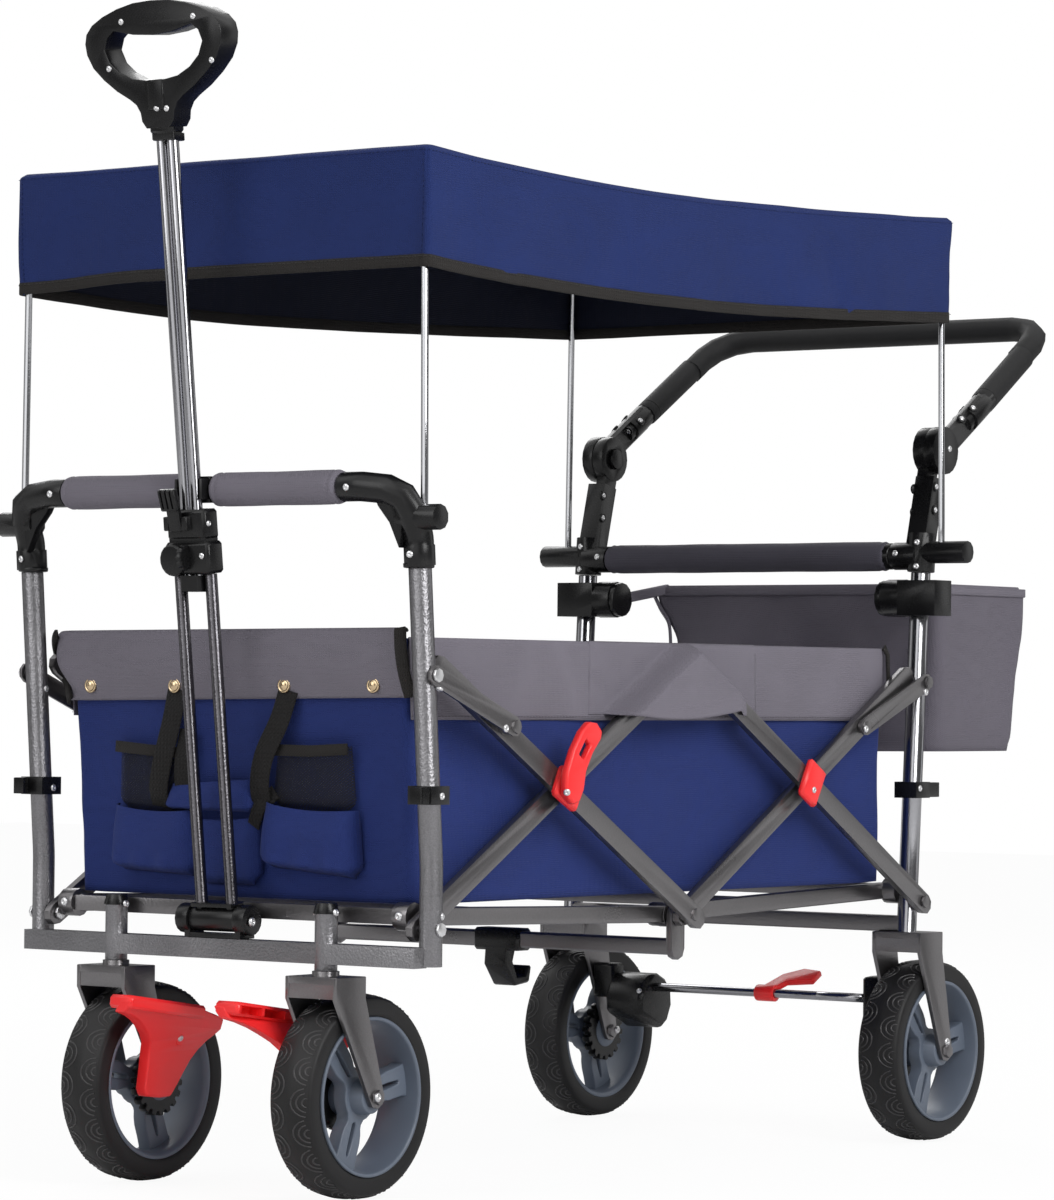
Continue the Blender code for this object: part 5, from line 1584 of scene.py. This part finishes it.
cover = block("rear_right_brake_cover", cover_levels, "brake_housing_right")
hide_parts("brake_housing_right")
turned("brake_rod_end", ROD_END, satin, body_of("brake_rod"), (0.1179, ROD_Y, ROD_Z), (1, 0, 0))
print("blocks in place, cover", cover.name)

# %% [markdown]
# ## Tyres
# The tyres are wide and of solid rubber, with a flat side wall and a tread of fine raised scales on both
# shoulders. A tyre is one outline turned about its axle. Each scale is three arcs, one inside the other,
# that open towards the side wall. An arc is a low ridge that follows the crown of the tyre, and a loop
# lays all of them round the wheel. Every wheel is drawn about its own centre and then placed.


# %% Rubber and the outline of a tyre
TYRE_RADIUS = 0.1015
HALF_TYRE = (  # radius, distance from the middle
    (0.0786, 0.0236),
    (0.0800, 0.0246),
    (0.0830, 0.0252),
    (0.0880, 0.0255),
    (0.0928, 0.0255),
    (0.0950, 0.0250),
    (0.0966, 0.0239),
    (0.0976, 0.0222),
    (0.0984, 0.0195),
    (0.0992, 0.0155),
    (0.1000, 0.0105),
    (0.1007, 0.0055),
    (TYRE_RADIUS, 0.0),
)
TYRE = [*HALF_TYRE, *((radius, -x) for radius, x in HALF_TYRE[-2::-1])]


def rubber(name, dark, pale, roughness):
    finish = Finish(name, Specular_IOR_Level=0.35)
    cloud = finish.noise(30.0, 4.0)
    finish.set("Base Color", finish.blend(cloud, dark, pale))
    finish.set("Roughness", cloud * 0.16 + roughness)
    finish.bump(finish.noise(900.0, 2.0), 0.00012)
    return finish.material


tyre_rubber = rubber("tyre_rubber", linear(17, 17, 18), linear(32, 31, 32), 0.42)
# The ridges are a paler rubber than the rest of the tyre: that paler colour is a painted highlight along each
# ridge.
ridge_rubber_painted_highlight = rubber("tyre_ridges", linear(46, 45, 46), linear(70, 69, 70), 0.2)
print("rubbers:", tyre_rubber.name, ridge_rubber_painted_highlight.name)


# %% The tyre, turned
def mesh_of(name, points, faces, finish):
    mesh = bpy.data.meshes.new(name)
    mesh.from_pydata(points, [], faces)
    mesh.materials.append(finish)
    mesh.shade_smooth()
    mesh.update()
    return mesh


def spun(name, profile, finish, steps=120):
    """A mesh turned about X, to be placed as often as needed."""
    count = len(profile)
    points = [(x, radius * math.cos(t), radius * math.sin(t)) for t in circle(steps) for radius, x in profile]
    faces = []
    for here in range(steps):
        start, after = here * count, (here + 1) % steps * count
        faces += [(start + i, start + i + 1, after + i + 1, after + i) for i in range(count - 1)]
    return mesh_of(name, points, faces, finish)


tyre_mesh = spun("tyre", TYRE, tyre_rubber)
print("tyre faces", len(tyre_mesh.polygons))

# %% The ridges of its tread
SCALES, ARC_STEPS = 20, 9
ARCS = (0.0046, 0.0094, 0.0142)
ARC_FROM, ARC_TO = -96, 84
RIDGE_HALF, RIDGE_HIGH = 0.00055, 0.0008
RIDGE_SHAPE = ((-1.5, -0.3), (-0.7, 1.0), (0.7, 1.0), (1.5, -0.3))  # shares of the half width, of the height
SCALE_X, SCALE_MOST_X, TREAD_RADIUS = 0.0230, 0.0244, 0.0995
STRETCH = 1.3  # a scale is longer across the tread than round it


def crown(x):
    """The radius of the tread at a distance from its middle."""
    places = [(place, radius) for radius, place in HALF_TYRE][::-1]
    return float(np.interp(abs(x), *zip(*places)))


def ridge_row(side, middle, arc, turn):
    """The four points across a ridge, at one turn of its arc."""
    row = []
    for shift, rise in RIDGE_SHAPE:
        radius = arc + shift * RIDGE_HALF
        x = side * min(SCALE_MOST_X, SCALE_X - STRETCH * radius * math.cos(turn))
        high = min(crown(x) + rise * RIDGE_HIGH, TYRE_RADIUS)
        angle = middle + radius * math.sin(turn) / TREAD_RADIUS
        row.append((x, high * math.cos(angle), high * math.sin(angle)))
    return row


def tread():
    """All ridges of one tyre, as one mesh."""
    points, faces = [], []
    for side in (1, -1):
        for scale in range(SCALES):
            middle = math.tau * (scale + (0.5 if side < 0 else 0.0)) / SCALES
            for arc in ARCS:
                for k in range(ARC_STEPS + 1):
                    turn = math.radians(between(ARC_FROM, ARC_TO, k / ARC_STEPS))
                    points += ridge_row(side, middle, arc, turn)
                    if k:
                        last = len(points) - 8
                        quads = [(last + i, last + i + 1, last + i + 5, last + i + 4) for i in range(3)]
                        faces += [quad[::side] for quad in quads]
    # The ridges take the paler rubber, their painted highlight.
    return mesh_of("tread", points, faces, ridge_rubber_painted_highlight)


tread_mesh = tread()
print("ridge faces", len(tread_mesh.polygons))

# %% [markdown]
# ## Rims
# A rim is one moulding: a deep barrel with a rolled lip, and a recessed star of three broad spokes, each
# with a long slot. The star is drawn flat, as an outline with holes, and given thickness and rounded
# edges. Drawing an outline and thickening it is what a curve object does by itself, so the star is a
# filled curve turned to a mesh.


# %% A plate from flat outlines
def slab(name, outlines, thickness, bevel, finish):
    """A plate from closed outlines in its own XY plane: the first is the edge, the rest are holes."""
    curve = bpy.data.curves.new(name, "CURVE")
    curve.dimensions = "2D"
    curve.fill_mode = "BOTH"
    curve.extrude = thickness / 2 - bevel
    curve.bevel_depth = bevel
    curve.bevel_resolution = 2
    curve.offset = -bevel
    for outline in outlines:
        line = curve.splines.new("POLY")
        line.points.add(len(outline) - 1)
        for point, (x, y) in zip(line.points, outline):
            point.co = (x, y, 0, 1)
        line.use_cyclic_u = True
    holder = bpy.data.objects.new(name, curve)
    bpy.context.scene.collection.objects.link(holder)
    bpy.context.view_layer.update()
    mesh = bpy.data.meshes.new_from_object(holder.evaluated_get(bpy.context.evaluated_depsgraph_get()))
    bpy.data.objects.remove(holder)
    mesh.name = name
    mesh.materials.clear()
    mesh.materials.append(finish)
    return mesh


def polar(radius, degrees):
    turn = math.radians(degrees)
    return (radius * math.cos(turn), radius * math.sin(turn))


print("two plates follow: a star and a cog")

# %% The star of spokes
SPOKES, FIRST_SPOKE = 3, 10
SPOKE = (  # distance from the axle, half width
    (0.0265, 0.0108),
    (0.030, 0.0112),
    (0.036, 0.0135),
    (0.044, 0.0150),
    (0.056, 0.0150),
    (0.066, 0.0155),
    (0.0735, 0.0175),
)
SPOKE_SLOT = ((0.0270, -0.0012), (0.0290, -0.0026), (0.045, -0.0027), (0.060, -0.0019))
SLOT_END = 0.0615
HUB_RADIUS, HUB_ANGLES = 0.0245, (32, 44, 60, 76, 88)
STAR_THICK, STAR_BEVEL, STAR_X = 0.016, 0.0016, 0.0040


def rim_star():
    """One outline round the hub and three spokes, and a slot in each."""
    edge, slots = [], []
    slot = [*SPOKE_SLOT, (SLOT_END, 0.0), *((reach, -width) for reach, width in SPOKE_SLOT[::-1])]
    for middle in (FIRST_SPOKE + 360 / SPOKES * k for k in range(SPOKES)):
        ray = Vector(polar(1, middle))
        side = Vector((-ray.y, ray.x))
        edge += [tuple(ray * reach - side * width) for reach, width in SPOKE]
        edge += [tuple(ray * reach + side * width) for reach, width in SPOKE[::-1]]
        edge += [polar(HUB_RADIUS, middle + angle) for angle in HUB_ANGLES]
        slots.append([tuple(ray * reach + side * width) for reach, width in slot])
    return slab("rim_star", [edge, *slots], STAR_THICK, STAR_BEVEL, rim_plastic)


def upright(mesh, x):
    """Turns a flat plate to face along the axle, and moves it there."""
    axes = Matrix(((0, 0, 1, 0), (1, 0, 0, 0), (0, 1, 0, 0), (0, 0, 0, 1)))
    mesh.transform(Matrix.Translation((x, 0, 0)) @ axes)
    return mesh


star_mesh = upright(rim_star(), STAR_X)
print("star faces", len(star_mesh.polygons))

# %% The cog of the brake
TEETH = 18
COG_TOOTH = ((0.0345, 0), (0.0350, 5), (0.0345, 10), (0.0300, 12), (0.0300, 18))  # radius, degrees
COG_HOLE, COG_THICK, COG_BEVEL, COG_X = 0.0120, 0.010, 0.0008, -0.0190


def cog():
    teeth = [
        polar(radius, 360 / TEETH * tooth + angle) for tooth in range(TEETH) for radius, angle in COG_TOOTH
    ]
    hole = [polar(COG_HOLE, 360 - 30 * k) for k in range(12)]
    return slab("brake_cog", [teeth, hole], COG_THICK, COG_BEVEL, black_plastic)


cog_mesh = upright(cog(), COG_X)
print("cog faces", len(cog_mesh.polygons))

# %% Barrel and hub
BARREL = (  # radius, distance from the middle
    (0.0786, 0.0236),
    (0.0788, 0.0258),
    (0.0775, 0.0264),
    (0.0758, 0.0262),
    (0.0748, 0.0240),
    (0.0742, 0.0200),
    (0.0722, 0.0120),
    (0.0714, 0.0),
    (0.0714, -0.0170),
    (0.0735, -0.0225),
    (0.0752, -0.0240),
    (0.0775, -0.0245),
    (0.0786, -0.0238),
)
HUB = (
    (0.0060, 0.0262),
    (0.0150, 0.0262),
    (0.0165, 0.0250),
    (0.0180, 0.0130),
    (0.0195, 0.0110),
    (0.0195, -0.0230),
    (0.0180, -0.0258),
    (0.0060, -0.0258),
)
barrel_mesh = spun("rim_barrel", BARREL, rim_plastic)
hub_mesh = spun("rim_hub", HUB, rim_plastic, 40)
print("barrel and hub faces", len(barrel_mesh.polygons), len(hub_mesh.polygons))

# %% Four wheels
WHEELS = {
    "front_right": (0.136, -0.471),
    "front_left": (-0.136, -0.471),
    "rear_right": (0.231, 0.4445),
    "rear_left": (-0.231, 0.4445),
}
WHEEL_MESHES = {
    "tyre": tyre_mesh,
    "tread": tread_mesh,
    "barrel": barrel_mesh,
    "star": star_mesh,
    "hub": hub_mesh,
    "cog": cog_mesh,
}
for word, (x, y) in WHEELS.items():
    end, side = word.split("_")
    turn = Matrix.Rotation(0 if x > 0 else math.pi, 4, "Z")
    for kind, mesh in WHEEL_MESHES.items():
        part = bpy.data.objects.new(f"{word}_{kind}_shape", mesh)
        bpy.context.scene.collection.objects.link(part)
        part.matrix_world = Matrix.Translation((x, y + SHIFT, TYRE_RADIUS)) @ turn
        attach(part, f"{end}_wheel_{side}")
        if kind == "tyre":
            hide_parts(f"{word}_tyre")
        if kind == "barrel":
            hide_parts(f"{word}_rim")
        if kind in ("star", "cog"):
            smooth(part)
print("wheels:", list(WHEELS))

# %% [markdown]
# ## Screws
# Pan-head screws hold the mouldings together. Where each one sits was read off the photograph as a point
# of the picture. A ray from the camera through that point meets the CAD surface, and that is where the
# screw goes, facing the way the surface faces, and moving with that part. Most have a twin on the other
# side of the wagon.

# %% Shoot a ray through a point of the picture
PICTURE_WIDE, PICTURE_HIGH = 1054, 1200
FOCAL = LENS / SENSOR * PICTURE_HIGH
SOLID = {
    name: BVHTree.FromPolygons(
        [v.co.copy() for v in obj.data.vertices], [list(p.vertices) for p in obj.data.polygons]
    )
    for name, obj in NODES.items()
    if not obj.hide_render
}


def aim(across, down):
    """The CAD node, place and normal behind a point of the picture, counted from its top left corner."""
    sideways, upwards = (across - PICTURE_WIDE / 2) / FOCAL, (PICTURE_HIGH / 2 - down) / FOCAL
    ray = (-back + right * sideways + upward * upwards).normalized()
    hits = []
    for name, tree in SOLID.items():
        place, normal, _, distance = tree.ray_cast(camera.location, ray)
        if place:
            hits.append((distance, name, place, normal))
    _, name, place, normal = min(hits, key=lambda hit: hit[0])
    return name, Vector((place.x, place.y - SHIFT, place.z)), normal


print("rays can meet", len(SOLID), "nodes")

# %% Where the screws, bolts and rivets are in the picture
SCREWS = {
    "elbow": ((345.9, 487.2), (409.7, 554.2)),
    "tee": ((580.5, 546.6), (596.9, 556.8), (579.3, 569.4)),
    "post": ((46.3, 688.6), (442.2, 916.7)),
    "clip": ((53.4, 787.7), (442.0, 796.3), (920.0, 788.5)),
    "stem": ((126.1, 903.6), (336.0, 912.5)),
    "hub": ((949.7, 448.8),),
    "pedal": ((180.4, 1038.4),),
    "lever": ((566.9, 792.4), (814.0, 790.0)),
}
BOSSED = {
    "column": ((603.2, 495.6), (602.4, 517.8), (935.9, 486.6), (934.8, 509.9)),
    "arm": ((640.2, 420.7), (628.7, 431.1), (972.9, 408.0), (961.6, 418.8)),
}
LONELY = {
    "clamp": ((208.6, 523.5), (201.5, 555.9)),
    "housing": ((639.0, 990.9),),
    "grip": ((121, 22), (192.8, 16), (211.5, 60), (109, 69), (156.6, 108.8), (166.5, 108.3)),
}
BOLTS = {
    "axle": ((377.7, 1097.5), (617.1, 1029.5)),
    "rear_axle": ((947.0, 1042.0),),
    "pull": ((251.9, 922.1),),
    "floor": ((64.4, 901.7),),
}
RIVETS = {"link": ((439.2, 688.9), (506.0, 728.5), (926.0, 692.0), (866.0, 729.0))}
GROUPS = (  # places, radius of the head, a twin on the other side, a boss under it
    (SCREWS, 0.0036, True, False),
    (BOSSED, 0.0033, True, True),
    (LONELY, 0.0032, False, False),
    (BOLTS, 0.0046, True, False),
    (RIVETS, 0.0040, True, False),
)
DIAL_PIXEL = (184.9, 557.8)
print("kinds of heads:", [word for places, *_ in GROUPS for word in places])

# %% Turn them
# Outlines of (radius, height), in shares of the head's radius.
HEAD = (
    (1.0, -0.2),
    (1.0, 0.06),
    (0.93, 0.24),
    (0.76, 0.38),
    (0.55, 0.46),
    (0.34, 0.49),
    (0.30, 0.30),
    (0.05, 0.28),
)
BOSS = ((1.75, -0.4), (1.72, 0.3), (1.55, 0.46), (1.15, 0.46), (1.08, 0.25), (0.2, 0.22))
BOSS_RISE = 0.2


def twin_of(node):
    """The node's name on the other side of the wagon, or the same one where it has no side."""
    stem, _, word = node.rpartition("_")
    other = {"right": "left", "left": "right"}.get(word)
    return f"{stem}_{other}" if other else node


def fasten(label, radius, boss, node, place, normal):
    """One head, on a boss where the moulding has one, riding with its node."""
    raised = 0.0
    if boss:
        raised = BOSS_RISE * radius
        profile = [(r * radius, h * radius) for r, h in BOSS]
        turned(f"boss_{label}", profile, black_plastic, body_of(node), place, normal)
    profile = [(r * radius, h * radius + raised) for r, h in HEAD]
    turned(f"screw_{label}", profile, zinc, body_of(node), place, normal)


count = 0
for places, radius, twins, boss in GROUPS:
    for word, spots in places.items():
        for number, spot in enumerate(spots):
            node, place, normal = aim(*spot)
            fasten(f"{word}_{number}_a", radius, boss, node, tuple(place), tuple(normal))
            count += 1
            if twins:
                mirror = (-place.x, place.y, place.z), (-normal.x, normal.y, normal.z)
                fasten(f"{word}_{number}_b", radius, boss, twin_of(node), *mirror)
                count += 1
print("screws:", count)

# %% The scalloped dial on the clamp of the pull handle
DIAL_RADIUS, DIAL_SINK, DIAL_STEPS, DIAL_LOBES = 0.0128, 0.0015, 128, 8
DIAL = (  # share of the radius, height
    (0.6, 0.0),
    (1.0, 0.0),
    (1.0, 0.0036),
    (0.95, 0.0046),
    (0.80, 0.0050),
    (0.74, 0.0038),
    (0.30, 0.0040),
    (0.02, 0.0040),
)
node, place, normal = aim(*DIAL_PIXEL)
side = normal.orthogonal().normalized()
other = normal.cross(side)
rows = []
for share, height in DIAL:
    row = []
    for turn in circle(DIAL_STEPS):
        lobe = 0.05 * abs(math.sin(DIAL_LOBES * turn)) ** 0.7 if share > 0.9 else 0.0
        radius = DIAL_RADIUS * share * (1 - lobe)
        around = (side * math.cos(turn) + other * math.sin(turn)) * radius
        row.append(tuple(place + normal * (height - DIAL_SINK) + around))
    rows.append(row)
dial = loft("clamp_dial", rows, black_plastic, body_of(node), capped=True)
smooth(dial)
print("dial on", node)

# %% [markdown]
# ## How much of its rectangle each sheet uses
# For each sheet, its area is set against the rectangle that it was cut from, and the share that it uses
# is printed.


POCKET_SHEETS = {
    "net_left": (0.11, 0.08),
    "net_right": (0.12, 0.08),
    "pouch_left": (0.14, 0.10),
    "pouch_right": (0.15, 0.10),
    "middle_pocket": (0.12, 0.085),
    "middle_flap": (0.13, 0.05),
}


def cloth(obj, flat, rests_on, *pieces):
    """Returns how much of the rectangle it was cut from is used, as text with the sheet's name."""
    area = sum(face.area for face in obj.data.polygons)
    return f"{obj.name} {area / flat[0] / flat[1]:.2f}"


shares = [
    cloth(basket, (0.98, 1.40), ["front_frame", "floor_frame_front"]),
    cloth(band, (2.25, 0.12), [basket.name], band_thread, band_corner),
    *(cloth(tent, (0.36, 0.10), [band.name]) for tent in tents),
    cloth(flap, (0.50, 0.11), [basket.name], flap_left, flap_right, *flap_threads, *snaps),
]
for obj in pocket_pieces:
    tapes = [edge for edge in net_tapes if edge.name == obj.name.replace("net", "net_binding")]
    shares.append(cloth(obj, POCKET_SHEETS[obj.name], [basket.name], *tapes))
print("share of the rectangle:", shares)

# %% [markdown]
# ## Slots
# For every new piece, the slot name that matches its finish is looked up in SLOTS; the name is not
# kept.

# %% Slots
SLOTS = {  # how the finish's name starts: the slot
    "navy": "navy_cloth",
    "canopy": "navy_cloth",
    "grey": "grey_cloth",
    "dark_grey": "grey_cloth",
    "tyre": "tyre",
    "rim": "rim",
    "foam": "foam",
    "red": "red_plastic",
    "bright": "chrome",
    "snap": "chrome",
    "satin": "chrome",
}
dressing = [
    obj
    for obj in bpy.data.objects
    if obj.type == "MESH" and obj.name not in NODES and obj.name != floor.name and obj.data.materials
]
for obj in dressing:
    finish_name = obj.data.materials[0].name
    fitting = (slot for word, slot in SLOTS.items() if finish_name.startswith(word))
    next(fitting, "black_plastic")
print("pieces with a slot:", len(dressing))
